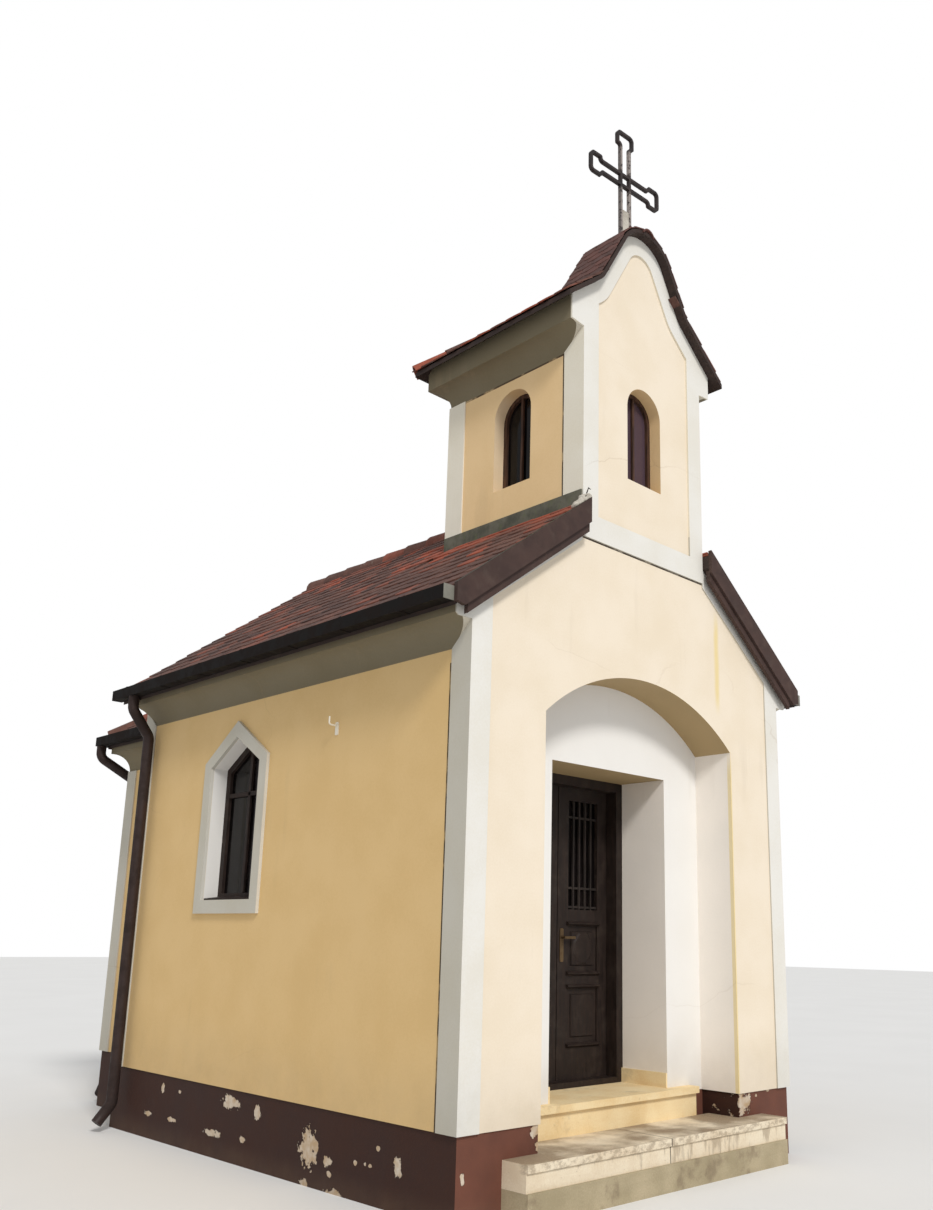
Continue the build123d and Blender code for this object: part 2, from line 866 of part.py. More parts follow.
def gable(grow=0, base=belfry_band_bottom, crowned=False, mode=Mode.ADD):
    """Add the area under the belfry's roof line, moved outwards, to the sketch being made.

    The plain line rises straight to the ridge, and the crowned one of the front has a round top.
    """
    ridge = belfry_ridge + grow * sqrt(1 + belfry_fall ** 2)
    eave = (belfry_reach, ridge - belfry_fall * belfry_reach)
    with BuildLine() as under_roof:
        if crowned:
            turn = radians(crown_angle)
            radius = crown_radius + grow
            crown_centre = crown_top - crown_radius
            shoulder_height = crown_centre + radius * cos(turn)
            shoulders = []
            for side in (-1, 1):
                shoulder = radius * sin(turn) + side * crown_shift
                foot = (shoulder_height + tan(turn) * shoulder - ridge) / (tan(turn) - belfry_fall)
                shoulders.append((side * shoulder, shoulder_height))
                FilletPolyline(
                    shoulders[-1],
                    (side * foot, ridge - belfry_fall * foot),
                    (side * eave[0], eave[1]),
                    radius=flank_hollow - grow,
                )
            ThreePointArc(shoulders[0], (crown_shift, crown_centre + radius), shoulders[1])
        else:
            Polyline((-eave[0], eave[1]), (0, ridge), eave)
        Polyline(eave, (eave[0], base), (-eave[0], base), (-eave[0], eave[1]))
    make_face(under_roof.edges(), mode=mode)


def belfry_form(front, grow=0, base=ceiling_top):
    """Plain form of the belfry's roof, hipped at the rear, moved outwards and on a base."""
    ridge = belfry_ridge + grow * sqrt(1 + belfry_fall ** 2)
    with BuildPart() as form:
        with BuildSketch(upright(front)):
            gable(grow, base)
        extrude(amount=front - belfry_rear_eave)
        with BuildSketch(Plane.YZ):
            outline(
                (front, base),
                (belfry_rear_eave, base),
                (belfry_rear_eave, ridge - belfry_fall * belfry_reach),
                (belfry_rear_eave - belfry_reach, ridge),
                (front, ridge),
            )
        extrude(amount=belfry_reach, both=True, mode=Mode.INTERSECT)
    return form.part


def arched(centre, grow=0, mode=Mode.SUBTRACT):
    """Add or take away a round-headed opening of the belfry, widened all round."""
    span(
        (centre - belfry_arch_half - grow, belfry_sill - grow),
        (centre + belfry_arch_half + grow, belfry_spring),
        mode=mode,
    )
    with Locations((centre, belfry_spring)):
        Circle(belfry_arch_half + grow, mode=mode)


belfry_base = underside(belfry_half)

# Front wall of the belfry, standing on the facade
with BuildPart() as belfry_front_wall:
    with BuildSketch(upright(0)):
        gable(base=belfry_base, crowned=True)
        span((-belfry_wall_half, belfry_base), (belfry_wall_half, crown_top), mode=Mode.INTERSECT)
        arched(0)
    extrude(amount=-front_leaf)
write(belfry_front_wall, "belfry_front_wall")

belfry_arch_y = belfry_length / 2
belfry_under_roof = belfry_form(front_leaf)

# Side walls of the belfry, standing on the ceiling
with BuildPart() as belfry_side_walls:
    with BuildSketch(Plane.XY.offset(ceiling_top)):
        span((-belfry_wall_half, front_leaf), (-belfry_inner_half, belfry_length))
    extrude(amount=belfry_ridge - ceiling_top)
    add(belfry_under_roof, mode=Mode.INTERSECT)
    with BuildSketch(Plane.YZ.offset(-belfry_wall_half)):
        arched(belfry_arch_y, mode=Mode.ADD)
    extrude(amount=belfry_side_wall, mode=Mode.SUBTRACT)
    mirror(about=Plane.YZ)
write(belfry_side_walls, "belfry_side_walls")

# Rear wall of the belfry, between the side walls
with BuildPart() as belfry_rear_wall:
    with BuildSketch(Plane.XY.offset(ceiling_top)):
        span((-belfry_inner_half, belfry_length - belfry_side_wall), (belfry_inner_half, belfry_length))
    extrude(amount=belfry_ridge - ceiling_top)
    add(belfry_under_roof, mode=Mode.INTERSECT)
write(belfry_rear_wall, "belfry_rear_wall")

belfry_panel_half = belfry_half - belfry_strip

# White frame of the belfry's front: strips, foot band, band under the roof line and its ears
with BuildPart() as belfry_front_frame:
    panel_bottom = belfry_band_bottom + belfry_band_height
    with BuildSketch(upright(-belfry_relief)):
        gable(crowned=True)
        with BuildLine():
            Polyline(
                (-belfry_half, belfry_band_bottom),
                (-belfry_half, belfry_cornice_under),
                (-belfry_ear, belfry_ear_under),
                (-belfry_ear, crown_top),
                (belfry_ear, crown_top),
                (belfry_ear, belfry_ear_under),
                (belfry_half, belfry_cornice_under),
                (belfry_half, belfry_band_bottom),
                close=True,
            )
        make_face(mode=Mode.INTERSECT)
    extrude(amount=-belfry_relief)
    with BuildSketch(upright(-belfry_relief)):
        gable(grow=-belfry_panel_border, base=panel_bottom, crowned=True)
        span((-belfry_panel_half, panel_bottom), (belfry_panel_half, crown_top), mode=Mode.INTERSECT)
    extrude(amount=-belfry_relief, mode=Mode.SUBTRACT)
write(belfry_front_frame, "belfry_front_frame")

# Raised strips at the belfry's corners, joined across the rear by a band at the nave's ridge
with BuildPart() as belfry_pilasters:
    with BuildSketch(Plane.YZ.offset(-belfry_wall_half)):
        outline(
            (0, belfry_base),
            (belfry_front_strip, belfry_base),
            (belfry_front_strip, belfry_cove_bottom),
            (0, belfry_cornice_under),
        )
        span((belfry_length - belfry_front_strip, belfry_base), (belfry_rear_face, belfry_cove_bottom))
    extrude(amount=-relief)
    mirror(about=Plane.YZ)
    with BuildSketch(upright(belfry_length)):
        span((-belfry_half, belfry_base), (belfry_half, belfry_cove_bottom))
        span(
            (-belfry_panel_half, roof_ridge + ridge_rise + rear_band),
            (belfry_panel_half, belfry_cove_bottom),
            mode=Mode.SUBTRACT,
        )
    extrude(amount=-relief)
write(belfry_pilasters, "belfry_pilasters")

# Cornice round the belfry's sides and rear, mitred back at both ends beside the front
with BuildPart() as belfry_cornices:
    with BuildLine() as belfry_eave_line:
        Polyline(
            (-belfry_wall_half, 0, belfry_ear_under),
            (-belfry_wall_half, belfry_length, belfry_ear_under),
            (belfry_wall_half, belfry_length, belfry_ear_under),
            (belfry_wall_half, 0, belfry_ear_under),
        )
    with BuildSketch(upright(0)):
        cove(
            -belfry_wall_half,
            -belfry_ear,
            belfry_cove_bottom,
            belfry_ear_under,
            belfry_ridge - belfry_fall * belfry_ear,
            belfry_ridge - belfry_fall * belfry_wall_half,
        )
    sweep(path=belfry_eave_line.line, transition=Transition.RIGHT)
    add(belfry_form(0, base=belfry_cove_bottom), mode=Mode.INTERSECT)
    with BuildSketch(Plane.YZ.offset(-belfry_wall_half)):
        outline(
            (0, belfry_cove_bottom - relief),
            (belfry_front_strip, belfry_cove_bottom - relief),
            (belfry_front_strip, belfry_cove_bottom),
            (0, belfry_cornice_under),
        )
    front_cuts = extrude(amount=belfry_wall_half - belfry_ear - relief, mode=Mode.SUBTRACT)
    mirror(front_cuts, about=Plane.YZ, mode=Mode.SUBTRACT)
write(belfry_cornices, "belfry_cornices")

# Roof of the belfry: the crowned shell over the front wall, then the plain slopes and the hip
with BuildPart() as belfry_roof:
    with BuildSketch(upright(-belfry_roof_front)):
        gable(grow=belfry_roof_thickness, crowned=True)
        gable(crowned=True, mode=Mode.SUBTRACT)
    extrude(amount=-belfry_roof_front - front_leaf - crown_lap)
    add(belfry_form(front_leaf, belfry_roof_thickness, belfry_eave))
    add(belfry_under_roof, mode=Mode.SUBTRACT)
write(belfry_roof, "belfry_roof")

# Sheet flashing where the nave roof meets the belfry's sides
with BuildPart() as belfry_flashing:
    back = belfry_half + flashing_thickness
    apron = belfry_half + flashing_apron
    with BuildSketch(upright(0)):
        outline(
            (-belfry_half, flashing_top),
            (-back, flashing_top),
            (-back, boarding(back) + flashing_thickness),
            (-apron, boarding(apron) + flashing_thickness),
            (-apron, boarding(apron)),
            (-belfry_half, boarding(belfry_half)),
        )
    extrude(amount=-belfry_rear_face)
    mirror(about=Plane.YZ)
write(belfry_flashing, "belfry_flashing")


roof_crown = crown_top + belfry_roof_thickness
cross_foot = roof_crown + saddle_height
limb_half = cross_foot_half + cross_bar / 2
cross_plane = upright(cross_y).rotated((0, 0, -cross_turn))


def upright_limb():
    """Add the cross's upright, with its wider head, to the sketch being made."""
    span((-limb_half, cross_foot), (limb_half, cross_top))
    span((-cross_bud_half, cross_top - cross_bud), (cross_bud_half, cross_top))


def level_limb():
    """Add the cross's arms, with their wider ends, to the sketch being made."""
    low = cross_arm_height - limb_half
    high = cross_arm_height + limb_half
    span((-cross_span, low), (cross_span, high))
    for side in (-1, 1):
        tip = side * cross_span
        inner_end = side * (cross_span - cross_bud)
        span(
            (min(tip, inner_end), cross_arm_height - cross_bud_half),
            (max(tip, inner_end), cross_arm_height + cross_bud_half),
        )


# Open cross of two bent bars: a long upright loop and a level one through it
with BuildPart() as cross:
    for limb in (upright_limb, level_limb):
        with BuildSketch(cross_plane.offset(cross_depth / 2)) as limb_face:
            limb()
            tips = [
                corner
                for corner in limb_face.vertices()
                if abs(corner.X) > cross_span - 1 or corner.Y > cross_top - 1
            ]
            fillet(tips, cross_bud_round)
            necks = [
                corner
                for corner in limb_face.vertices()
                if abs(abs(corner.X) - cross_span + cross_bud) < 1
                or abs(corner.Y - cross_top + cross_bud) < 1
            ]
            fillet(necks, cross_neck_round)
            hole = offset(amount=-cross_bar, mode=Mode.PRIVATE)
            add(hole, mode=Mode.SUBTRACT)
        extrude(amount=-cross_depth)
write(cross, "cross")

# Post that holds the cross, on its mortar saddle over the crown
with BuildPart() as cross_post:
    post_half = cross_foot_half - cross_bar / 2
    with BuildSketch(cross_plane.offset(post_depth / 2)):
        span((-post_half, cross_foot + cross_bar), (post_half, post_top))
    extrude(amount=-post_depth)
    with BuildSketch(upright(cross_y - saddle_depth / 2)):
        span((-saddle_half, roof_crown - saddle_height), (saddle_half, roof_crown + saddle_height))
        with Locations((crown_shift, crown_top - crown_radius)):
            Circle(crown_radius + belfry_roof_thickness, mode=Mode.SUBTRACT)
    extrude(amount=-saddle_depth)
write(cross_post, "cross_post")

# Timber frames of the windows: the pointed pair of the nave, with sill boards, and the belfry's
with BuildPart() as window_frames:
    with BuildSketch(Plane.YZ.offset(-wall_half + window_reveal)):
        pointed_window()
        pointed_hole = offset(amount=-window_bar, mode=Mode.PRIVATE)
        add(pointed_hole, mode=Mode.SUBTRACT)
    extrude(amount=window_depth)
    with BuildSketch(upright(window_centre - window_half)):
        outline(
            (-wall_half + window_reveal, window_sill),
            (-wall_half + window_reveal, window_sill + sill_back),
            (-wall_half + sill_setback, window_sill + sill_nose),
            (-wall_half + sill_setback, window_sill),
        )
    extrude(amount=-2 * window_half)
    with BuildSketch(Plane.YZ.offset(-belfry_wall_half + belfry_reveal)):
        arched(belfry_arch_y, mode=Mode.ADD)
        arched(belfry_arch_y, grow=-belfry_window_bar)
    extrude(amount=window_depth)
    mirror(about=Plane.YZ)
    with BuildSketch(upright(belfry_reveal)):
        arched(0, mode=Mode.ADD)
        arched(0, grow=-belfry_window_bar)
    extrude(amount=-window_depth)
write(window_frames, "window_frames")

# Glass of the windows, held in the middle of the frames
with BuildPart() as window_glass:
    middle = window_depth / 2
    with BuildSketch(Plane.YZ.offset(-wall_half + window_reveal + middle)):
        pointed_window()
        glass_edge = offset(amount=-window_bar, mode=Mode.PRIVATE)
        add(glass_edge, mode=Mode.INTERSECT)
    extrude(amount=glass_thickness)
    with BuildSketch(Plane.YZ.offset(-belfry_wall_half + belfry_reveal + middle)):
        arched(belfry_arch_y, grow=-belfry_window_bar, mode=Mode.ADD)
    extrude(amount=glass_thickness)
    mirror(about=Plane.YZ)
    with BuildSketch(upright(belfry_reveal + middle)):
        arched(0, grow=-belfry_window_bar, mode=Mode.ADD)
    extrude(amount=-glass_thickness)
write(window_glass, "window_glass")

hinge_x = door_half - frame_jamb - leaf_gap / 2
hinge_y = frame_back + knuckle_stand_off
clear_half = door_half - frame_jamb
head_under = door_top - frame_jamb

# Box frame of the door, with its stop and sill
with BuildPart() as door_frame:
    with BuildSketch(upright(frame_front)):
        span((-door_half, floor_top), (door_half, door_top))
        span((-clear_half, floor_top), (clear_half, head_under), mode=Mode.SUBTRACT)
    extrude(amount=-frame_depth)
    with BuildSketch(upright(frame_front)):
        span((-clear_half, floor_top), (clear_half, head_under))
        span(
            (-clear_half + frame_stop, floor_top + sill_height),
            (clear_half - frame_stop, head_under - frame_stop),
            mode=Mode.SUBTRACT,
        )
    extrude(amount=-stop_depth)
    for height in hinge_heights:
        with BuildSketch(Plane.XY.offset(height - knuckle_length)):
            span((hinge_x, frame_back), (hinge_x + hinge_flap, frame_back + hinge_plate))
            with Locations((hinge_x, hinge_y)):
                Circle(knuckle_radius)
            span((hinge_x, frame_back), (hinge_x + knuckle_radius, hinge_y))
        extrude(amount=knuckle_length)
        with BuildSketch(Plane.XY.offset(height - knuckle_length)):
            span((-hinge_x - hinge_flap, frame_back), (-hinge_x, frame_back + hinge_plate))
            with Locations((-hinge_x, hinge_y)):
                Circle(knuckle_radius)
            span((-hinge_x - knuckle_radius, frame_back), (-hinge_x, hinge_y))
        extrude(amount=knuckle_length)
write(door_frame, "door_frame")

leaf_back = frame_back
leaf_front = leaf_back - leaf_thickness
leaf_bottom = floor_top + leaf_floor_gap
leaf_top = head_under - leaf_gap
leaf_near = meeting_gap / 2
leaf_far = clear_half - leaf_gap
field_low_x = leaf_near + stile_width
field_high_x = leaf_far - stile_width
light_top = leaf_top - top_rail
bar_line = leaf_front + bar_width
hinge_seat = 0.3


def door_leaf(side):
    """A panelled leaf with its barred light, its ledges and the upper halves of its hinges."""
    low = min(side * leaf_near, side * leaf_far)
    high = max(side * leaf_near, side * leaf_far)
    left = min(side * field_low_x, side * field_high_x)
    right = max(side * field_low_x, side * field_high_x)
    with BuildPart() as leaf:
        with BuildSketch(upright(leaf_front)):
            span((low, leaf_bottom), (high, leaf_top))
            span((left, light_bottom), (right, light_top), mode=Mode.SUBTRACT)
        extrude(amount=-leaf_thickness)
        with BuildSketch(upright(leaf_front)):
            span((left, middle_panel_bottom), (right, middle_panel_top))
            span((left, lower_panel_bottom), (right, lower_panel_top))
        extrude(amount=-panel_recess, mode=Mode.SUBTRACT)
        margin = panel_field_margin
        with BuildSketch(upright(leaf_front + panel_recess)):
            span((left + margin, middle_panel_bottom + margin), (right - margin, middle_panel_top - margin))
            span((left + margin, lower_panel_bottom + margin), (right - margin, lower_panel_top - margin))
        extrude(amount=panel_recess, taper=panel_field_taper)
        for foot in (middle_panel_top, middle_panel_bottom - ledge_height, lower_panel_top):
            with BuildSketch(Plane.YZ.offset(left - ledge_end)):
                outline(
                    (leaf_front, foot + ledge_height),
                    (leaf_front - ledge_projection, foot + ledge_height * ledge_nose_top),
                    (leaf_front - ledge_projection, foot + ledge_height * ledge_nose_foot),
                    (leaf_front, foot),
                )
            extrude(amount=right - left + 2 * ledge_end)
        for height in hinge_heights:
            with BuildSketch(Plane.XY.offset(height + hinge_seat)):
                plate_in = side * (hinge_x - hinge_flap)
                plate_out = side * hinge_x
                span(
                    (min(plate_in, plate_out), leaf_back),
                    (max(plate_in, plate_out), leaf_back + hinge_plate),
                )
                with Locations((side * hinge_x, hinge_y)):
                    Circle(knuckle_radius)
                knuckle_in = side * (hinge_x - knuckle_radius)
                span(
                    (min(knuckle_in, plate_out), leaf_back),
                    (max(knuckle_in, plate_out), hinge_y),
                )
            extrude(amount=knuckle_length)
    return leaf


door_leaf_left = door_leaf(-1)
write(door_leaf_left, "door_leaf_left")
door_leaf_right = door_leaf(1)
write(door_leaf_right, "door_leaf_right")


def door_grille(side):
    """Bars of a leaf's light: uprights between the rails, crossed by three flat bars."""
    left = min(side * field_low_x, side * field_high_x)
    right = max(side * field_low_x, side * field_high_x)
    pitch = (right - left) / (bars_per_light + 1)
    with BuildPart() as grille:
        with BuildSketch(Plane.XY.offset(light_bottom)):
            for bar in range(bars_per_light):
                with Locations((left + pitch * (bar + 1), bar_line)):
                    Rectangle(bar_width, bar_width)
        extrude(amount=light_top - light_bottom)
        with BuildSketch(upright(bar_line - bar_width / 4)):
            for height in cross_bar_heights:
                span((left, height), (right, height + cross_bar_depth))
        extrude(amount=-bar_width / 2)
    return grille


door_grille_left = door_grille(-1)
write(door_grille_left, "door_grille_left")
door_grille_right = door_grille(1)
write(door_grille_right, "door_grille_right")


def door_pane(side):
    """Glass behind a leaf's bars."""
    left = min(side * field_low_x, side * field_high_x)
    right = max(side * field_low_x, side * field_high_x)
    with BuildPart() as pane:
        with BuildSketch(upright(leaf_front + pane_setback)):
            span((left, light_bottom), (right, light_top))
        extrude(amount=-glass_thickness)
    return pane


door_pane_left = door_pane(-1)
write(door_pane_left, "door_pane_left")
door_pane_right = door_pane(1)
write(door_pane_right, "door_pane_right")

handle_x = leaf_near + handle_inset
lever_height_line = handle_height + spindle_rise

# Lever handles with long plates on both faces of the right leaf
with BuildPart() as door_handles:
    for face, way in ((leaf_front, -1), (leaf_back, 1)):
        with BuildSketch(Plane.XZ.offset(-face)):
            with Locations((handle_x, handle_height)):
                RectangleRounded(handle_plate_width, handle_plate_height, handle_plate_round)
        extrude(amount=-way * handle_plate)
        with BuildSketch(Plane.XZ.offset(-face - way * handle_plate)):
            with Locations((handle_x, lever_height_line)):
                Circle(spindle_radius)
        extrude(amount=-way * spindle_length)
        with BuildSketch(Plane.YZ.offset(handle_x - spindle_radius)):
            with Locations((face + way * (spindle_length - handle_plate / 3), lever_height_line)):
                RectangleRounded(lever_depth, lever_height, lever_round)
        extrude(amount=lever_length)
write(door_handles, "door_handles")

# Stone skirtings at the foot of the doorway's reveals
with BuildPart() as reveal_skirtings:
    with BuildSketch(Plane.XY.offset(floor_top)):
        span((-door_half, front_leaf), (-door_half + skirting_thickness, frame_front))
    extrude(amount=skirting_height)
    mirror(about=Plane.YZ)
write(reveal_skirtings, "reveal_skirtings")

# Small hook on the left wall
with BuildPart() as wall_hook:
    hook_line_height = hook_height + hook_rod_rise
    with BuildSketch(Plane.YZ.offset(-wall_half)):
        with Locations((hook_y, hook_height)):
            RectangleRounded(hook_plate_width, hook_plate_height, hook_plate)
    extrude(amount=-hook_plate)
    with BuildLine() as hook_line:
        FilletPolyline(
            (-wall_half - hook_plate, hook_y, hook_line_height),
            (-wall_half - hook_reach, hook_y, hook_line_height),
            (-wall_half - hook_reach, hook_y, hook_line_height + hook_rod_rise + 2 * hook_bend),
            radius=hook_bend,
        )
    with BuildSketch(Plane.YZ.offset(-wall_half - hook_plate)):
        with Locations((hook_y, hook_line_height)):
            Circle(hook_rod)
    sweep(path=hook_line.line)
write(wall_hook, "wall_hook")
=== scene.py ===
"""Dresses the small chapel: plaster, tiles, stone, timber and metal, with its light and camera.

Every length is in metres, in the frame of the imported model: X to the right along the facade,
Y into the building and Z up from the lowest ground.
"""

import json
import logging
import math
import random
from dataclasses import dataclass, field
from enum import Enum
from typing import Iterable, Iterator, Optional, Sequence

import bmesh
import bpy
from mathutils import Matrix, Vector, noise

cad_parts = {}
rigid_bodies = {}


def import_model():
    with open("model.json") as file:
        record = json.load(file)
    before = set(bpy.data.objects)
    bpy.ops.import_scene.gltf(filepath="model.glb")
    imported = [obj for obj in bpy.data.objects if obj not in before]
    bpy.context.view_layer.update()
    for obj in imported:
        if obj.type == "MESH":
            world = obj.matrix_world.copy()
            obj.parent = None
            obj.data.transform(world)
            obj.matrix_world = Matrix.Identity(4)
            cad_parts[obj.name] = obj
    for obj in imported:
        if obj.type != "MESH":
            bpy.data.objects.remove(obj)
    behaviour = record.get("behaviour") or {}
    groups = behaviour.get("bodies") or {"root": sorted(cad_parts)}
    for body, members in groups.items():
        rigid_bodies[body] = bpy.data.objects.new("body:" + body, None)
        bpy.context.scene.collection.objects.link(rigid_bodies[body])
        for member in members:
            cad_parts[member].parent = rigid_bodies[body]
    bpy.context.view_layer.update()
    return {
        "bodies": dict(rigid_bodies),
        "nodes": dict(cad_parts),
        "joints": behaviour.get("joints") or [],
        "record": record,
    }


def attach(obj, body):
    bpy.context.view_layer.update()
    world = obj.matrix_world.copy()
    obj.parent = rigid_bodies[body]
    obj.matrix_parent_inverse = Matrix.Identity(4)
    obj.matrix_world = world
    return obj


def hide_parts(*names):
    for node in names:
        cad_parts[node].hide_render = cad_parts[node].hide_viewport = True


LOG = logging.getLogger("chapel")
BUILDING = "building"
LEFT_DOOR = "left_door"
RIGHT_DOOR = "right_door"

Colour = tuple[float, float, float]
Point = tuple[float, float, float]
Block = tuple[Point, Point]
Cut = tuple[Vector, Vector]

PAVING = 0.165
ROOF_FALL = 0.765
BOARD_RIDGE = PAVING + 4.846
ROOF_REACH = 1.895
NAVE_REAR = 4.300
VERGE = -0.068
BELFRY_HALF = 0.702
BELFRY_REAR = 1.460
NICHE_HALF = 1.030
NICHE_DEPTH = 0.331
FRONT_WALL = 0.900
WALL_HALF = 1.690
NOISE_SEED = 3

SIDES = (-1, 1)
ORIGIN = Vector((0.0, 0.0, 0.0))
FORWARD = Vector((0.0, -1.0, 0.0))
BACKWARD = Vector((0.0, 1.0, 0.0))
UPWARD = Vector((0.0, 0.0, 1.0))


def tint(red: int, green: int, blue: int) -> Colour:
    """Turn a screen colour, 0 to 255, into the linear colour a shader takes.

    Args:
        red: Red, 0 to 255.
        green: Green, 0 to 255.
        blue: Blue, 0 to 255.

    Returns:
        The linear colour.
    """
    def linear(part: int) -> float:
        """Undo the screen's curve for one part of the colour."""
        level = part / 255
        return level / 12.92 if level <= 0.04045 else ((level + 0.055) / 1.055) ** 2.4

    return (linear(red), linear(green), linear(blue))


class Axis3(Enum):
    """The three axes, by their place in a vector."""

    X = 0
    Y = 1
    Z = 2


class Graph:
    """A shader tree being built, with short calls for the nodes that every finish uses."""

    def __init__(self, tree: bpy.types.NodeTree) -> None:
        """Take the tree to build in."""
        self.tree = tree

    def add(self, kind: str, settings: Optional[dict] = None, **inputs: object) -> bpy.types.Node:
        """Add a node, set its own settings and feed its inputs.

        Args:
            kind: The node's type name.
            settings: Values of the node's own settings.
            **inputs: A socket or a constant for each input, its spaces written as underscores.

        Returns:
            The new node.
        """
        made = self.tree.nodes.new(kind)
        for key, value in (settings or {}).items():
            setattr(made, key, value)
        for key, value in inputs.items():
            self.feed(made.inputs[key.replace("_", " ")], value)
        return made

    def feed(self, socket: bpy.types.NodeSocket, value: object) -> None:
        """Link a socket to an input, or set the input's constant.

        Args:
            socket: The input.
            value: Another node's output, a number, a vector or a colour.
        """
        if isinstance(value, bpy.types.NodeSocket):
            self.tree.links.new(value, socket)
            return
        if socket.type == "RGBA" and len(value) == 3:
            value = (*value, 1.0)
        socket.default_value = value

    def math(
        self, operation: str, first: object, second: object = 0.0, clamp: bool = False
    ) -> bpy.types.NodeSocket:
        """Add a Math node.

        Args:
            operation: The operation's name.
            first: The first value.
            second: The second value.
            clamp: Whether the result stays within 0 and 1.

        Returns:
            The result.
        """
        made = self.add("ShaderNodeMath", {"operation": operation, "use_clamp": clamp})
        self.feed(made.inputs[0], first)
        self.feed(made.inputs[1], second)
        return made.outputs[0]

    def times(self, value: object, *others: object) -> object:
        """Multiply a value by others, one after another.

        Args:
            value: The value.
            *others: What it is multiplied by.

        Returns:
            The product.
        """
        for other in others:
            value = self.math("MULTIPLY", value, other)
        return value

    def between(self, operation: str, first: object, second: object) -> bpy.types.NodeSocket:
        """Reckon with two vectors.

        Args:
            operation: The operation's name.
            first: The first vector.
            second: The second vector.

        Returns:
            The resulting vector.
        """
        made = self.add("ShaderNodeVectorMath", {"operation": operation})
        self.feed(made.inputs[0], first)
        self.feed(made.inputs[1], second)
        return made.outputs[0]

    def mix(
        self, factor: object, first: object, second: object, blend: str = "MIX"
    ) -> bpy.types.NodeSocket:
        """Mix two colours.

        Args:
            factor: How much of the second shows.
            first: The first colour.
            second: The second colour.
            blend: The blend type.

        Returns:
            The mixed colour.
        """
        made = self.add("ShaderNodeMix", {"data_type": "RGBA", "blend_type": blend})
        self.feed(made.inputs[0], factor)
        self.feed(made.inputs[6], first)
        self.feed(made.inputs[7], second)
        return made.outputs[2]

    def remap(
        self, value: object, low: float, high: float, out_low: float = 0.0, out_high: float = 1.0
    ) -> bpy.types.NodeSocket:
        """Stretch a range of a value to another, smoothly and clamped.

        Args:
            value: The value.
            low: The start of its range.
            high: The end of its range.
            out_low: What the start becomes.
            out_high: What the end becomes.

        Returns:
            The new value.
        """
        made = self.add("ShaderNodeMapRange", {"interpolation_type": "SMOOTHSTEP"}, Value=value)
        for key, number in (
            ("From Min", low), ("From Max", high), ("To Min", out_low), ("To Max", out_high)
        ):
            made.inputs[key].default_value = number
        return made.outputs[0]

    def noise(
        self, vector: object, scale: object, detail: float = 4.0, roughness: float = 0.55
    ) -> bpy.types.NodeSocket:
        """Add a noise pattern.

        Args:
            vector: Where it is read.
            scale: Its scale.
            detail: Its octaves.
            roughness: How strong the fine octaves are.

        Returns:
            Its value.
        """
        made = self.add(
            "ShaderNodeTexNoise", {}, Vector=vector, Scale=scale, Detail=detail, Roughness=roughness
        )
        return made.outputs[0]

    def stretched(self, vector: object, scale: Point) -> bpy.types.NodeSocket:
        """Return the place where a pattern is read, scaled along each axis."""
        return self.add("ShaderNodeMapping", {}, Vector=vector, Scale=scale).outputs[0]

    def parts(self, vector: object) -> Sequence[bpy.types.NodeSocket]:
        """Return a vector's X, Y and Z."""
        return self.add("ShaderNodeSeparateXYZ", {}, Vector=vector).outputs

    def place(self) -> bpy.types.NodeSocket:
        """Return the surface's place in the object."""
        return self.add("ShaderNodeTexCoord").outputs["Object"]

    def facing(self) -> Sequence[bpy.types.NodeSocket]:
        """Return the X, Y and Z of the direction that the surface faces."""
        return self.parts(self.add("ShaderNodeNewGeometry").outputs["Normal"])

    def sunlit(self, facing: Sequence[bpy.types.NodeSocket]) -> bpy.types.NodeSocket:
        """Return how far the surface turns to the sunny front, 0 to 1."""
        return self.remap(self.times(facing[1], -1.0), 0.15, 0.75)

    def surface(self, shader: bpy.types.Node, colour: object, roughness: object, normal: object) -> None:
        """Feed a shader's colour, roughness and normal."""
        for key, value in (("Base Color", colour), ("Roughness", roughness), ("Normal", normal)):
            self.feed(shader.inputs[key], value)

    def use(self, group: bpy.types.NodeTree, **inputs: object) -> bpy.types.Node:
        """Place a node group.

        Args:
            group: The group.
            **inputs: A socket or a constant for each input.

        Returns:
            The node that holds it.
        """
        made = self.tree.nodes.new("ShaderNodeGroup")
        made.node_tree = group
        for key, value in inputs.items():
            self.feed(made.inputs[key.replace("_", " ")], value)
        return made

    def bump(
        self, height: object, strength: float, distance: float, before: object = None
    ) -> bpy.types.NodeSocket:
        """Turn a height into a normal.

        Args:
            height: The height.
            strength: The bump's strength.
            distance: The height of 1, in metres.
            before: A normal that it adds to.

        Returns:
            The normal.
        """
        made = self.add("ShaderNodeBump", {}, Height=height, Strength=strength, Distance=distance)
        if before is not None:
            self.feed(made.inputs["Normal"], before)
        return made.outputs[0]


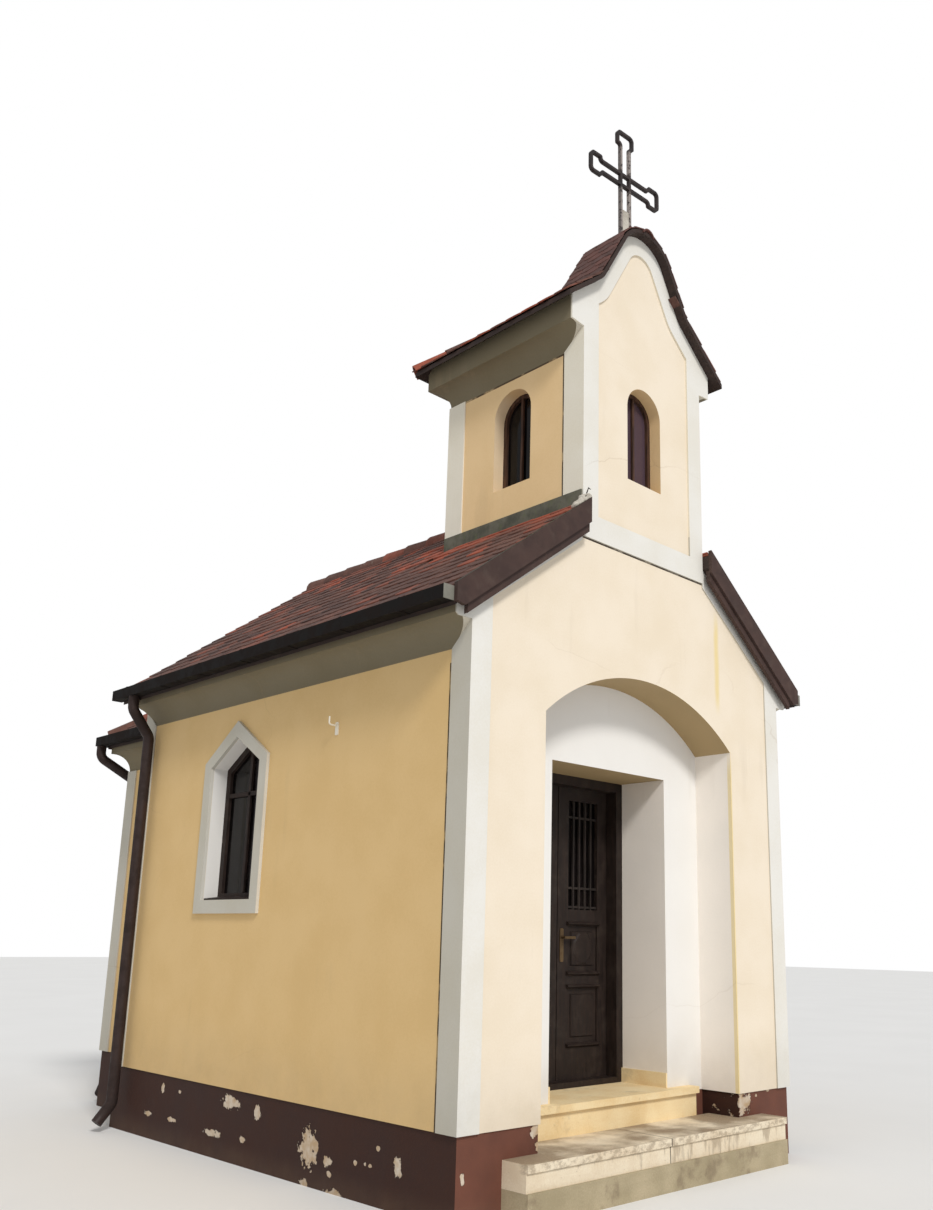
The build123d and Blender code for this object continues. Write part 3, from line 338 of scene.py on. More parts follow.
class PatternGroup:
    """Builds and keeps the node groups that several finishes share."""

    made: dict[str, bpy.types.NodeTree] = {}

    @classmethod
    def start(
        cls, name: str, inputs: Iterable[tuple[str, str, object]], outputs: Iterable[tuple[str, str]]
    ) -> tuple[Graph, bpy.types.Node, bpy.types.Node]:
        """Begin a group with its sockets.

        Args:
            name: The group's name.
            inputs: Name, socket type and default of each input.
            outputs: Name and socket type of each output.

        Returns:
            The graph, the input node and the output node.
        """
        tree = bpy.data.node_groups.new(name, "ShaderNodeTree")
        for label, kind, default in inputs:
            socket = tree.interface.new_socket(label, in_out="INPUT", socket_type=kind)
            if default is not None:
                socket.default_value = default
        for label, kind in outputs:
            tree.interface.new_socket(label, in_out="OUTPUT", socket_type=kind)
        graph = Graph(tree)
        cls.made[name] = tree
        return graph, tree.nodes.new("NodeGroupInput"), tree.nodes.new("NodeGroupOutput")

    @classmethod
    def rain_streaks(cls) -> bpy.types.NodeTree:
        """Return the group of stains that run down a wall."""
        name = "rain_streaks"
        if name not in cls.made:
            graph, source, target = cls.start(
                name,
                [
                    ("Vector", "NodeSocketVector", None),
                    ("Width", "NodeSocketFloat", 9.0),
                    ("Start", "NodeSocketFloat", 0.55),
                ],
                [("Mask", "NodeSocketFloat")],
            )
            stretched = graph.stretched(source.outputs["Vector"], (1.0, 1.0, 0.07))
            streak = graph.noise(stretched, source.outputs["Width"], 6.0, 0.6)
            patch = graph.noise(source.outputs["Vector"], 0.9, 3.0)
            both = graph.times(streak, graph.remap(patch, 0.35, 0.75, 0.6, 1.2))
            over = graph.math("SUBTRACT", both, source.outputs["Start"])
            graph.feed(target.inputs["Mask"], graph.math("MULTIPLY", over, 6.0, clamp=True))
        return cls.made[name]

    @classmethod
    def mineral_grain(cls) -> bpy.types.NodeTree:
        """Return the group of a plastered or stone surface's fine and coarse unevenness."""
        name = "mineral_grain"
        if name not in cls.made:
            graph, source, target = cls.start(
                name,
                [
                    ("Vector", "NodeSocketVector", None),
                    ("Fine", "NodeSocketFloat", 90.0),
                    ("Coarse", "NodeSocketFloat", 3.0),
                ],
                [("Tone", "NodeSocketFloat"), ("Height", "NodeSocketFloat")],
            )
            fine = graph.noise(source.outputs["Vector"], source.outputs["Fine"], 5.0, 0.65)
            coarse = graph.noise(source.outputs["Vector"], source.outputs["Coarse"], 3.0, 0.5)
            graph.feed(
                target.inputs["Tone"], graph.math("ADD", graph.times(fine, 0.35), graph.times(coarse, 0.65))
            )
            graph.feed(
                target.inputs["Height"],
                graph.math("ADD", graph.times(fine, 0.25), graph.times(coarse, 0.75)),
            )
        return cls.made[name]

    @classmethod
    def within_block(cls) -> bpy.types.NodeTree:
        """Return the group that is 1 inside a block of space and 0 outside it."""
        name = "within_block"
        if name not in cls.made:
            graph, source, target = cls.start(
                name,
                [
                    ("Vector", "NodeSocketVector", None),
                    ("Low", "NodeSocketVector", None),
                    ("High", "NodeSocketVector", None),
                ],
                [("Mask", "NodeSocketFloat")],
            )
            here = graph.parts(source.outputs["Vector"])
            low = graph.parts(source.outputs["Low"])
            high = graph.parts(source.outputs["High"])
            mask: object = 1.0
            for axis in Axis3:
                above = graph.math("GREATER_THAN", here[axis.value], low[axis.value])
                below = graph.math("LESS_THAN", here[axis.value], high[axis.value])
                mask = graph.times(mask, above, below)
            graph.feed(target.inputs["Mask"], mask)
        return cls.made[name]

    @classmethod
    def hair_cracks(cls) -> bpy.types.NodeTree:
        """Return the group of thin, wandering cracks."""
        name = "hair_cracks"
        if name not in cls.made:
            graph, source, target = cls.start(
                name,
                [
                    ("Vector", "NodeSocketVector", None),
                    ("Scale", "NodeSocketFloat", 0.8),
                    ("Width", "NodeSocketFloat", 0.006),
                ],
                [("Mask", "NodeSocketFloat")],
            )
            wander = graph.add(
                "ShaderNodeTexNoise", {}, Vector=source.outputs["Vector"], Scale=2.2, Detail=6.0
            )
            shift = graph.add(
                "ShaderNodeVectorMath", {"operation": "SCALE"}, Vector=wander.outputs["Color"], Scale=0.35
            )
            moved = graph.between("ADD", source.outputs["Vector"], shift.outputs[0])
            cells = graph.add(
                "ShaderNodeTexVoronoi", {
                    "feature": "DISTANCE_TO_EDGE"
                }, Vector=moved, Scale=source.outputs["Scale"]
            )
            line = graph.math("LESS_THAN", cells.outputs["Distance"], source.outputs["Width"])
            gate = graph.remap(graph.noise(source.outputs["Vector"], 0.7, 2.0), 0.5, 0.62)
            graph.feed(target.inputs["Mask"], graph.times(line, gate))
        return cls.made[name]


def start_material(
    name: str, roughness: float, metallic: float = 0.0
) -> tuple[bpy.types.Material, Graph, bpy.types.Node]:
    """Begin a material with its Principled shader.

    Args:
        name: The material's name.
        roughness: Its plain roughness.
        metallic: Its plain metallic level.

    Returns:
        The material, its graph and its shader.
    """
    material = bpy.data.materials.new(name)
    material.use_nodes = True
    tree = material.node_tree
    tree.nodes.clear()
    graph = Graph(tree)
    shader = graph.add("ShaderNodeBsdfPrincipled", {}, Roughness=roughness, Metallic=metallic)
    output = graph.add("ShaderNodeOutputMaterial")
    tree.links.new(shader.outputs[0], output.inputs["Surface"])
    return material, graph, shader


@dataclass(frozen=True)
class PlasterFinish:
    """Painted plaster with painted light: a sunlit colour on faces turned to the front, a shaded colour elsewhere,
    and an optional white lining.
    """

    name: str
    # shaded and sunned are painted light: the colour of faces in shade and of faces turned to the sunny front.
    shaded: Colour
    sunned: Colour
    stain: Colour = tint(150, 132, 104)
    lining: Optional[Colour] = None
    lining_shaded: Colour = tint(250, 243, 234)
    stain_level: float = 0.09
    crack_level: float = 0.15
    # Painted shade: the next colour darkens the down-facing faces of the niche and the doorway.
    under: Colour = tint(176, 156, 118)
    # Painted light: the next colour brightens the shaded faces above high_from.
    high: Optional[Colour] = None
    high_from: float = 4.6
    # Painted shade: the next colour and blocks paint shade lines in recesses.
    recess_shade: Colour = tint(58, 43, 31)
    recess_shades: tuple[Block, ...] = ()
    crack: Colour = tint(160, 130, 95)
    run: Colour = tint(232, 205, 110)
    has_run: bool = False

    def lining_blocks(self) -> list[Block]:
        """List the blocks of space whose surfaces are lined in white.

        Returns:
            The niche with the doorway, the nave's inside, the rear room's, the belfry's, and the
            reveals of the nave's windows, each as its lowest and its highest corner.
        """
        edge = 0.0012
        niche_top = PAVING + 3.2
        return [
            ((-NICHE_HALF - edge, edge, 0.0), (NICHE_HALF + edge, FRONT_WALL + 1.0, niche_top)),
            ((-1.312, FRONT_WALL - edge, 0.0), (1.312, 3.842, PAVING + 3.146)),
            ((-1.002, 3.80, 0.0), (1.002, 5.042, PAVING + 4.3)),
            ((-0.444, NICHE_DEPTH - edge, niche_top), (0.444, 1.202, PAVING + 6.8)),
            ((-WALL_HALF + edge, 2.288, PAVING + 1.60), (WALL_HALF - edge, 2.992, PAVING + 2.85)),
        ]

    def material(self) -> bpy.types.Material:
        """Build the material.

        Returns:
            The material.
        """
        material, graph, shader = start_material(self.name, 0.86)
        place = graph.place()
        normal = graph.facing()
        to_sun = graph.sunlit(normal)
        grain = graph.use(PatternGroup.mineral_grain(), Vector=place, Fine=70.0, Coarse=2.3)
        _, depth, height = graph.parts(place)
        shaded: object = self.shaded
        # Painted light: above high_from the shaded faces take the brighter high colour.
        if self.high is not None:
            shaded = graph.mix(graph.math("GREATER_THAN", height, self.high_from), self.shaded, self.high)
        # Painted sunlight: faces turned to the front take the sunned colour, less of it deeper than 0.4 m.
        sunlit_share = graph.times(to_sun, graph.remap(depth, 0.40, 0.42, 1.0, 0.4))
        base = graph.mix(sunlit_share, shaded, self.sunned)
        mottle = graph.remap(grain.outputs["Tone"], 0.36, 0.66)
        darker = graph.mix(1.0, base, (0.90, 0.87, 0.80), "MULTIPLY")
        base = graph.mix(graph.times(mottle, 0.55), base, darker)
        if self.lining is not None:
            lined: object = 0.0
            for low, high in self.lining_blocks():
                mask = graph.use(PatternGroup.within_block(), Vector=place, Low=low, High=high)
                lined = graph.math("MAXIMUM", lined, mask.outputs["Mask"])
            # Painted light: the white lining has a shaded and a sunlit colour, mixed by facing.
            white = graph.mix(to_sun, self.lining_shaded, self.lining)
            white = graph.mix(graph.times(mottle, 0.25), white, (0.78, 0.75, 0.70))
            # Painted shade: down-facing lined faces less than 1 m deep darken towards the under colour.
            soffit_shade = graph.mix(1.0, white, self.under, "MULTIPLY")
            hanging = graph.times(normal[2], graph.remap(depth, 1.0, 1.02, -1.0, 0.0))
            white = graph.mix(graph.remap(hanging, 0.15, 0.8), white, soffit_shade)
            base = graph.mix(lined, base, white)
        streaks = graph.use(PatternGroup.rain_streaks(), Vector=place, Width=7.0, Start=0.56)
        level = graph.times(streaks.outputs["Mask"], self.stain_level)
        base = graph.mix(level, base, self.stain)
        splash = graph.times(graph.remap(height, PAVING + 0.85, PAVING + 0.30), graph.noise(place, 5.0))
        base = graph.mix(graph.times(splash, 0.35), base, self.stain)
        # Painted shade lines in the recesses, broken by noise.
        for low, high in self.recess_shades:
            recess_shade = graph.use(PatternGroup.within_block(), Vector=place, Low=low, High=high).outputs["Mask"]
            gaps = graph.remap(graph.noise(place, 6.0, 5.0), 0.36, 0.50, 0.45, 0.95)
            base = graph.mix(graph.times(recess_shade, gaps), base, self.recess_shade)
        if self.has_run:
            base = self.add_run(graph, place, base)
        lying = graph.stretched(place, (0.45, 0.45, 1.0))
        cracks = graph.use(
            PatternGroup.hair_cracks(), Vector=lying, Scale=0.75, Width=0.0024
        ).outputs["Mask"]
        base = graph.mix(graph.times(cracks, self.crack_level), base, self.crack)
        roughness = graph.remap(grain.outputs["Tone"], 0.3, 0.7, 0.80, 0.92)
        waves = graph.bump(graph.noise(place, 1.7, 2.0), 0.35, 0.02)
        fine = graph.bump(grain.outputs["Height"], 0.35, 0.006, waves)
        graph.surface(shader, base, roughness, graph.bump(graph.times(cracks, -1.0), 0.4, 0.004, fine))
        return material

    def add_run(self, graph: Graph, place: object, base: object) -> bpy.types.NodeSocket:
        """Lay the yellow run of rain water over the colour, right of the niche.

        Args:
            graph: The material's graph.
            place: The surface's place.
            base: The colour under the run.

        Returns:
            The colour with the run.
        """
        x, y, z = graph.parts(place)
        middle = 0.905
        wobble = graph.times(graph.noise(graph.stretched(place, (1.0, 1.0, 0.3)), 9.0), 0.05)
        across = graph.math("ABSOLUTE", graph.math("SUBTRACT", graph.math("ADD", x, wobble), middle))
        line = graph.remap(across, 0.045, 0.008)
        ended = graph.remap(z, PAVING + 3.05, PAVING + 3.25)
        down = graph.times(ended, graph.remap(z, PAVING + 3.95, PAVING + 3.70))
        from_edge = graph.math("ABSOLUTE", graph.math("SUBTRACT", x, NICHE_HALF))
        edge = graph.remap(from_edge, 0.020, 0.002)
        low = graph.remap(z, PAVING + 2.85, PAVING + 2.60)
        run = graph.math("MAXIMUM", graph.times(line, down), graph.times(edge, low))
        on_face = graph.times(graph.math("LESS_THAN", y, 0.03), 0.55)
        return graph.mix(graph.times(run, on_face), base, self.run)


@dataclass(frozen=True)
class PeelingPaintFinish:
    """Dark plinth paint that has flaked off down to pale render, at known places in view.

    A flake is its middle along the wall and in height, half its width and half its height.
    """

    name: str
    # Painted light: the first colour is the paint on faces in shade, the second on faces turned to the sunny
    # front.
    paint: Colour = tint(60, 36, 28)
    sunlit_paint: Colour = tint(114, 72, 58)
    render: Colour = tint(212, 200, 184)
    old_render: Colour = tint(186, 160, 128)
    dust: Colour = tint(120, 98, 78)
    raggedness: float = 3.2
    left_face: float = -1.68
    left_flakes: tuple[tuple[float, float, float, float], ...] = (
        (3.371, 0.380, 0.026, 0.035),
        (3.105, 0.380, 0.022, 0.019),
        (2.389, 0.389, 0.113, 0.039),
        (2.033, 0.359, 0.048, 0.039),
        (1.411, 0.225, 0.092, 0.101),
        (1.201, 0.179, 0.039, 0.030),
        (1.172, 0.108, 0.022, 0.016),
        (1.442, 0.015, 0.048, 0.026),
        (1.118, 0.000, 0.078, 0.030),
        (0.506, 0.247, 0.031, 0.069),
        (0.699, 0.322, 0.016, 0.013),
        (0.915, 0.209, 0.016, 0.012),
        (0.817, 0.218, 0.013, 0.012),
        (0.768, 0.214, 0.018, 0.012),
        (3.573, 0.178, 0.062, 0.018),
        (3.188, 0.174, 0.069, 0.016),
        (2.598, 0.160, 0.096, 0.022),
        (2.197, 0.173, 0.030, 0.022),
    )
    front_flakes: tuple[tuple[float, float, float, float], ...] = (
        (-1.050, 0.445, 0.053, 0.035),
        (-1.036, 0.365, 0.036, 0.030),
        (1.095, 0.400, 0.089, 0.075),
        (1.260, 0.445, 0.016, 0.012),
        (1.420, 0.468, 0.023, 0.010),
        (-1.630, 0.250, 0.015, 0.030),
    )

    def flaked(self, graph: Graph, place: object) -> bpy.types.NodeSocket:
        """Mark where the paint has come off.

        Args:
            graph: The material's graph.
            place: The surface's place.

        Returns:
            How far the place is inside a flake, above 0, or outside every one, below 0.
        """
        x, y, _ = graph.parts(place)
        ragged = graph.times(
            graph.math("SUBTRACT", graph.noise(place, 20.0, 6.0, 0.6), 0.5), self.raggedness
        )
        inside: object = -1.0
        spots = [
            ((self.left_face, across, high), (0.1, wide, tall))
            for across, high, wide, tall in self.left_flakes
        ]
        spots += [
            ((across, 0.01, high), (wide, 0.02, tall)) for across, high, wide, tall in self.front_flakes
        ]
        for middle, size in spots:
            share = graph.between("DIVIDE", graph.between("SUBTRACT", place, middle), size)
            length = graph.add("ShaderNodeVectorMath", {"operation": "LENGTH"}, Vector=share)
            inside = graph.math("MAXIMUM", inside, graph.math("SUBTRACT", 1.0, length.outputs["Value"]))
        near = graph.math("GREATER_THAN", inside, -0.45)
        spotted = graph.math("ADD", inside, graph.times(ragged, near))
        unseen = graph.times(graph.math("GREATER_THAN", x, -1.6), graph.math("GREATER_THAN", y, 0.05))
        limit = graph.math("SUBTRACT", 2.65, graph.times(unseen, 2.0))
        scattered = graph.math("SUBTRACT", graph.noise(place, 4.4, 9.0, 0.62), limit)
        return graph.math("MAXIMUM", spotted, graph.times(scattered, 8.0))

    def material(self) -> bpy.types.Material:
        """Build the material.

        Returns:
            The material.
        """
        material, graph, shader = start_material(self.name, 0.7)
        place = graph.place()
        height = graph.parts(place)[2]
        # Painted light: faces turned to the front take the lighter sunlit paint colour.
        paint = graph.mix(graph.sunlit(graph.facing()), self.paint, self.sunlit_paint)
        cloud = graph.remap(graph.noise(place, 2.6, 5.0), 0.35, 0.7)
        paint = graph.mix(graph.times(cloud, 0.5), paint, graph.mix(0.6, paint, (0.03, 0.02, 0.02)))
        flaked = self.flaked(graph, place)
        mask = graph.math("MULTIPLY", flaked, 12.0, clamp=True)
        rim = graph.math("MULTIPLY", graph.math("ADD", flaked, 0.25), 3.0, clamp=True)
        chips = graph.remap(graph.noise(place, 14.0, 4.0), 0.3, 0.7)
        bare = graph.mix(chips, self.render, self.old_render)
        rimmed = graph.mix(graph.times(rim, 0.45), paint, (0.02, 0.012, 0.01))
        colour = graph.mix(mask, rimmed, bare)
        dust = graph.times(graph.remap(height, 0.16, 0.0), graph.noise(place, 6.0))
        colour = graph.mix(graph.times(dust, 0.35), colour, self.dust)
        shader.inputs["Specular IOR Level"].default_value = 0.2
        grain = graph.use(PatternGroup.mineral_grain(), Vector=place, Fine=60.0, Coarse=6.0)
        rough = graph.bump(grain.outputs["Height"], 0.5, 0.008)
        normal = graph.bump(graph.times(mask, -1.0), 0.9, 0.004, rough)
        graph.surface(shader, colour, graph.math("ADD", graph.times(mask, 0.25), 0.62), normal)
        return material


@dataclass(frozen=True)
class TileFinish:
    """Weathered fired clay, its tone carried by each tile."""

    name: str
    dark: Colour = tint(66, 44, 40)
    middle: Colour = tint(110, 72, 60)
    fresh: Colour = tint(166, 80, 54)
    lichen: Colour = tint(134, 120, 108)
    soot: Colour = tint(48, 40, 38)

    def material(self) -> bpy.types.Material:
        """Build the material.

        Returns:
            The material.
        """
        material, graph, shader = start_material(self.name, 0.82)
        place = graph.place()
        tone = graph.add("ShaderNodeAttribute", {"attribute_name": "tone"}).outputs["Fac"]
        ramp = graph.add("ShaderNodeValToRGB", {}, Fac=tone)
        ramp.color_ramp.elements[0].color = (*self.dark, 1.0)
        ramp.color_ramp.elements[1].color = (*self.fresh, 1.0)
        half = ramp.color_ramp.elements.new(0.5)
        half.color = (*self.middle, 1.0)
        grain = graph.use(PatternGroup.mineral_grain(), Vector=place, Fine=140.0, Coarse=14.0)
        colour = graph.mix(
            graph.remap(grain.outputs["Tone"], 0.35, 0.68, 0.0, 0.35), ramp.outputs[0], self.soot
        )
        crust = graph.remap(graph.noise(place, 26.0, 7.0, 0.7), 0.54, 0.70)
        region = graph.remap(graph.noise(place, 1.1, 3.0), 0.38, 0.66, 0.25, 1.0)
        older = graph.remap(tone, 0.75, 0.35, 0.0, 1.0)
        crusted = graph.times(crust, region, older)
        colour = graph.mix(graph.times(crusted, 0.6), colour, self.lichen)
        roughness = graph.remap(grain.outputs["Tone"], 0.3, 0.7, 0.70, 0.92)
        graph.surface(shader, colour, roughness, graph.bump(grain.outputs["Height"], 0.6, 0.004))
        return material


@dataclass(frozen=True)
class StoneFinish:
    """Sawn or rough stone with stains, pits and worn places."""

    name: str
    pale: Colour
    deep: Colour
    soil: Colour = tint(118, 100, 80)
    crack: Colour = tint(60, 48, 38)
    soil_limit: float = 0.55
    soil_level: float = 0.6
    pitting: float = 0.4
    speckle: float = 0.0
    joints: tuple[float, ...] = ()
    tread_soil: float = 0.0
    nosing: Optional[tuple[float, float]] = None

    def material(self) -> bpy.types.Material:
        """Build the material.

        Returns:
            The material.
        """
        material, graph, shader = start_material(self.name, 0.75)
        place = graph.place()
        grain = graph.use(PatternGroup.mineral_grain(), Vector=place, Fine=85.0, Coarse=4.0)
        colour = graph.mix(graph.remap(grain.outputs["Tone"], 0.34, 0.68), self.pale, self.deep)
        bed = graph.noise(graph.stretched(place, (0.6, 0.6, 7.0)), 3.0, 5.0)
        colour = graph.mix(graph.remap(bed, 0.45, 0.75, 0.0, 0.35), colour, self.deep)
        soil = graph.remap(graph.noise(place, 3.4, 7.0, 0.65), self.soil_limit, self.soil_limit + 0.12)
        level: object = graph.times(soil, self.soil_level)
        if self.tread_soil > 0:
            walked = graph.remap(graph.noise(place, 2.2, 6.0), 0.36, 0.58)
            on_top = graph.math("GREATER_THAN", graph.facing()[2], 0.5)
            level = graph.math("MAXIMUM", level, graph.times(on_top, walked, self.tread_soil))
        if self.nosing is not None:
            level = graph.math("MAXIMUM", level, self.run_off(graph, place))
        colour = graph.mix(level, colour, self.soil)
        if self.speckle > 0:
            chips = graph.remap(graph.noise(place, 130.0, 2.0, 0.8), 0.42, 0.62, 0.0, self.speckle)
            colour = graph.mix(chips, colour, self.deep)
        pits = graph.remap(graph.noise(place, 55.0, 3.0, 0.7), 0.66, 0.74)
        colour = graph.mix(graph.times(pits, self.pitting), colour, self.soil)
        across = graph.parts(place)[0]
        crack: object = 0.0
        for joint in self.joints:
            wobble = graph.times(graph.noise(place, 16.0, 4.0), 0.012)
            away = graph.math("ABSOLUTE", graph.math("SUBTRACT", graph.math("ADD", across, wobble), joint))
            crack = graph.math("MAXIMUM", crack, graph.remap(away, 0.006, 0.0015))
        if self.joints:
            colour = graph.mix(crack, colour, self.crack)
        roughness = graph.remap(grain.outputs["Tone"], 0.3, 0.7, 0.62, 0.9)
        rough = graph.bump(grain.outputs["Height"], 0.45, 0.008)
        sunk = graph.times(graph.math("MAXIMUM", pits, crack), -1.0)
        graph.surface(shader, colour, roughness, graph.bump(sunk, 0.6, 0.004, rough))
        return material

    def run_off(self, graph: Graph, place: object) -> bpy.types.NodeSocket:
        """Stain the nosing's edge, and the riser below it in short runs.

        Args:
            graph: The material's graph.
            place: The surface's place.

        Returns:
            The level of the stain.
        """
        low, high = self.nosing
        x, y, z = graph.parts(place)
        mottled = graph.remap(
            graph.noise(graph.stretched(place, (1.0, 1.0, 1.6)), 19.0, 7.0, 0.7), 0.42, 0.62
        )
        edge = graph.times(graph.remap(z, low - 0.006, low + 0.006), graph.remap(y, -0.11, -0.17))
        hanging = graph.noise(graph.stretched(place, (1.0, 1.0, 0.22)), 13.0, 5.0, 0.6)
        reach = graph.math("ADD", graph.remap(x, -0.75, 0.05, 0.0, 0.13), 0.02)
        depth = graph.math("DIVIDE", graph.math("SUBTRACT", low, z), reach)
        run = graph.remap(graph.math("SUBTRACT", hanging, graph.times(depth, 0.10)), 0.46, 0.60)
        on_riser = graph.times(graph.math("LESS_THAN", z, low), graph.math("GREATER_THAN", x, -0.95))
        nosing = graph.times(edge, mottled, 0.55)
        return graph.math("MAXIMUM", nosing, graph.times(run, on_riser, 0.5))


@dataclass(frozen=True)
class TimberFinish:
    """Painted or stained boards with grain along one axis and worn, dusty places."""

    name: str
    paint: Colour = tint(74, 58, 54)
    worn: Colour = tint(104, 84, 74)
    stretch: Point = (1.0, 14.0, 14.0)
    roughness: float = 0.62
    dust: float = 0.2
    dust_tone: Colour = tint(140, 126, 112)
    edge: Optional[Colour] = None
    high: Optional[Colour] = None
    high_from: float = 4.5
    shine: float = 0.25

    def material(self) -> bpy.types.Material:
        """Build the material.

        Returns:
            The material.
        """
        material, graph, shader = start_material(self.name, self.roughness)
        place = graph.place()
        along = graph.stretched(place, self.stretch)
        fibre = graph.noise(along, 5.0, 8.0, 0.6)
        worn = graph.remap(fibre, 0.36, 0.66)
        colour = graph.mix(worn, self.paint, self.worn)
        patch = graph.remap(graph.noise(place, 4.5, 6.0, 0.65), 0.52, 0.66)
        grimy = graph.mix(0.5, colour, (0.02, 0.016, 0.014))
        colour = graph.mix(graph.times(patch, 0.4), colour, grimy)
        film = graph.remap(graph.noise(place, 11.0, 5.0), 0.45, 0.75, 0.0, self.dust)
        colour = graph.mix(film, colour, self.dust_tone)
        if self.high is not None:
            above = graph.math("GREATER_THAN", graph.parts(place)[2], self.high_from)
            colour = graph.mix(above, colour, graph.mix(worn, self.high, self.worn))
        if self.edge is not None:
            on_top = graph.math("GREATER_THAN", graph.facing()[2], 0.5)
            colour = graph.mix(on_top, colour, self.edge)
        shader.inputs["Specular IOR Level"].default_value = self.shine
        roughness = graph.remap(fibre, 0.3, 0.7, self.roughness - 0.1, self.roughness + 0.15)
        graph.surface(shader, colour, roughness, graph.bump(fibre, 0.35, 0.003))
        return material


@dataclass(frozen=True)
class MetalFinish:
    """Coated or bare metal, with dull patches and rust or dust where it collects."""

    name: str
    coat: Colour
    dull: Colour
    rust: Colour = tint(98, 66, 48)
    rust_limit: float = 0.66
    metallic: float = 0.0
    roughness: float = 0.45
    shine: float = 0.3

    def material(self) -> bpy.types.Material:
        """Build the material.

        Returns:
            The material.
        """
        material, graph, shader = start_material(self.name, self.roughness, self.metallic)
        place = graph.place()
        cloud = graph.remap(graph.noise(place, 6.0, 6.0, 0.6), 0.35, 0.68)
        colour = graph.mix(cloud, self.coat, self.dull)
        rust = graph.remap(graph.noise(place, 22.0, 7.0, 0.68), self.rust_limit, self.rust_limit + 0.07)
        colour = graph.mix(graph.times(rust, 0.8), colour, self.rust)
        shader.inputs["Specular IOR Level"].default_value = self.shine
        roughness = graph.remap(cloud, 0.0, 1.0, self.roughness - 0.1, self.roughness + 0.2)
        graph.surface(shader, colour, roughness, graph.bump(graph.noise(place, 40.0, 4.0), 0.2, 0.002))
        return material


@dataclass(frozen=True)
class GlassFinish:
    """Dark window glass with a film of dust and a painted sky reflection on front-facing glass up high."""

    name: str
    body: Colour = tint(12, 9, 9)
    film: Colour = tint(36, 29, 28)
    # Painted reflection: the purple-grey sky on front-facing glass above high_from.
    painted_reflection: Colour = tint(92, 74, 84)
    high_from: float = 4.5

    def material(self) -> bpy.types.Material:
        """Build the material.

        Returns:
            The material.
        """
        material, graph, shader = start_material(self.name, 0.12)
        place = graph.place()
        film = graph.remap(graph.noise(graph.stretched(place, (3.0, 3.0, 0.6)), 4.0, 5.0), 0.42, 0.75)
        colour = graph.mix(graph.times(film, 0.5), self.body, self.film)
        # Painted reflection on front-facing glass above high_from.
        high = graph.math("GREATER_THAN", graph.parts(place)[2], self.high_from)
        forward = graph.math("LESS_THAN", graph.facing()[1], -0.5)
        colour = graph.mix(graph.times(forward, high, 0.8), colour, self.painted_reflection)
        for key, value in (("Transmission Weight", 0.08), ("IOR", 1.45), ("Specular IOR Level", 0.2)):
            shader.inputs[key].default_value = value
        roughness = graph.math("ADD", graph.times(film, 0.25), 0.08)
        graph.surface(shader, colour, roughness, graph.bump(graph.noise(place, 5.0, 2.0), 0.08, 0.004))
        return material


@dataclass(frozen=True)
class CrossFinish:
    """Dark iron with a painted pale sky sheen on its stem, broken by dark rust spots."""

    name: str
    dark: Colour = tint(40, 33, 33)
    dull: Colour = tint(60, 50, 48)
    # Painted highlight: the pale colour paints the sky's sheen on the stem.
    pale: Colour = tint(164, 154, 148)
    arms: float = 7.595
    arms_half: float = 0.075
    stem_half: float = 0.075
    stem_top: float = 7.920

    def material(self) -> bpy.types.Material:
        """Build the material.

        Returns:
            The material.
        """
        material, graph, shader = start_material(self.name, 0.5, 0.3)
        place = graph.place()
        x, _, z = graph.parts(place)
        cloud = graph.remap(graph.noise(place, 8.0, 6.0, 0.6), 0.35, 0.68)
        colour = graph.mix(cloud, self.dark, self.dull)
        # Painted sheen on the stem below its top and away from the arms, broken by dark rust spots.
        across = graph.remap(graph.math("ABSOLUTE", x), self.stem_half, self.stem_half - 0.03)
        away = graph.math("ABSOLUTE", graph.math("SUBTRACT", z, self.arms))
        along = graph.remap(away, self.arms_half - 0.01, self.arms_half + 0.03)
        below = graph.remap(z, self.stem_top, self.stem_top - 0.04)
        sheen_on_stem = graph.times(across, along, below)
        spots = graph.remap(graph.noise(place, 38.0, 4.0, 0.6), 0.60, 0.53)
        colour = graph.mix(graph.times(sheen_on_stem, spots), colour, self.pale)
        roughness = graph.remap(cloud, 0.0, 1.0, 0.42, 0.62)
        graph.surface(shader, colour, roughness, graph.bump(graph.noise(place, 40.0, 4.0), 0.2, 0.002))
        return material


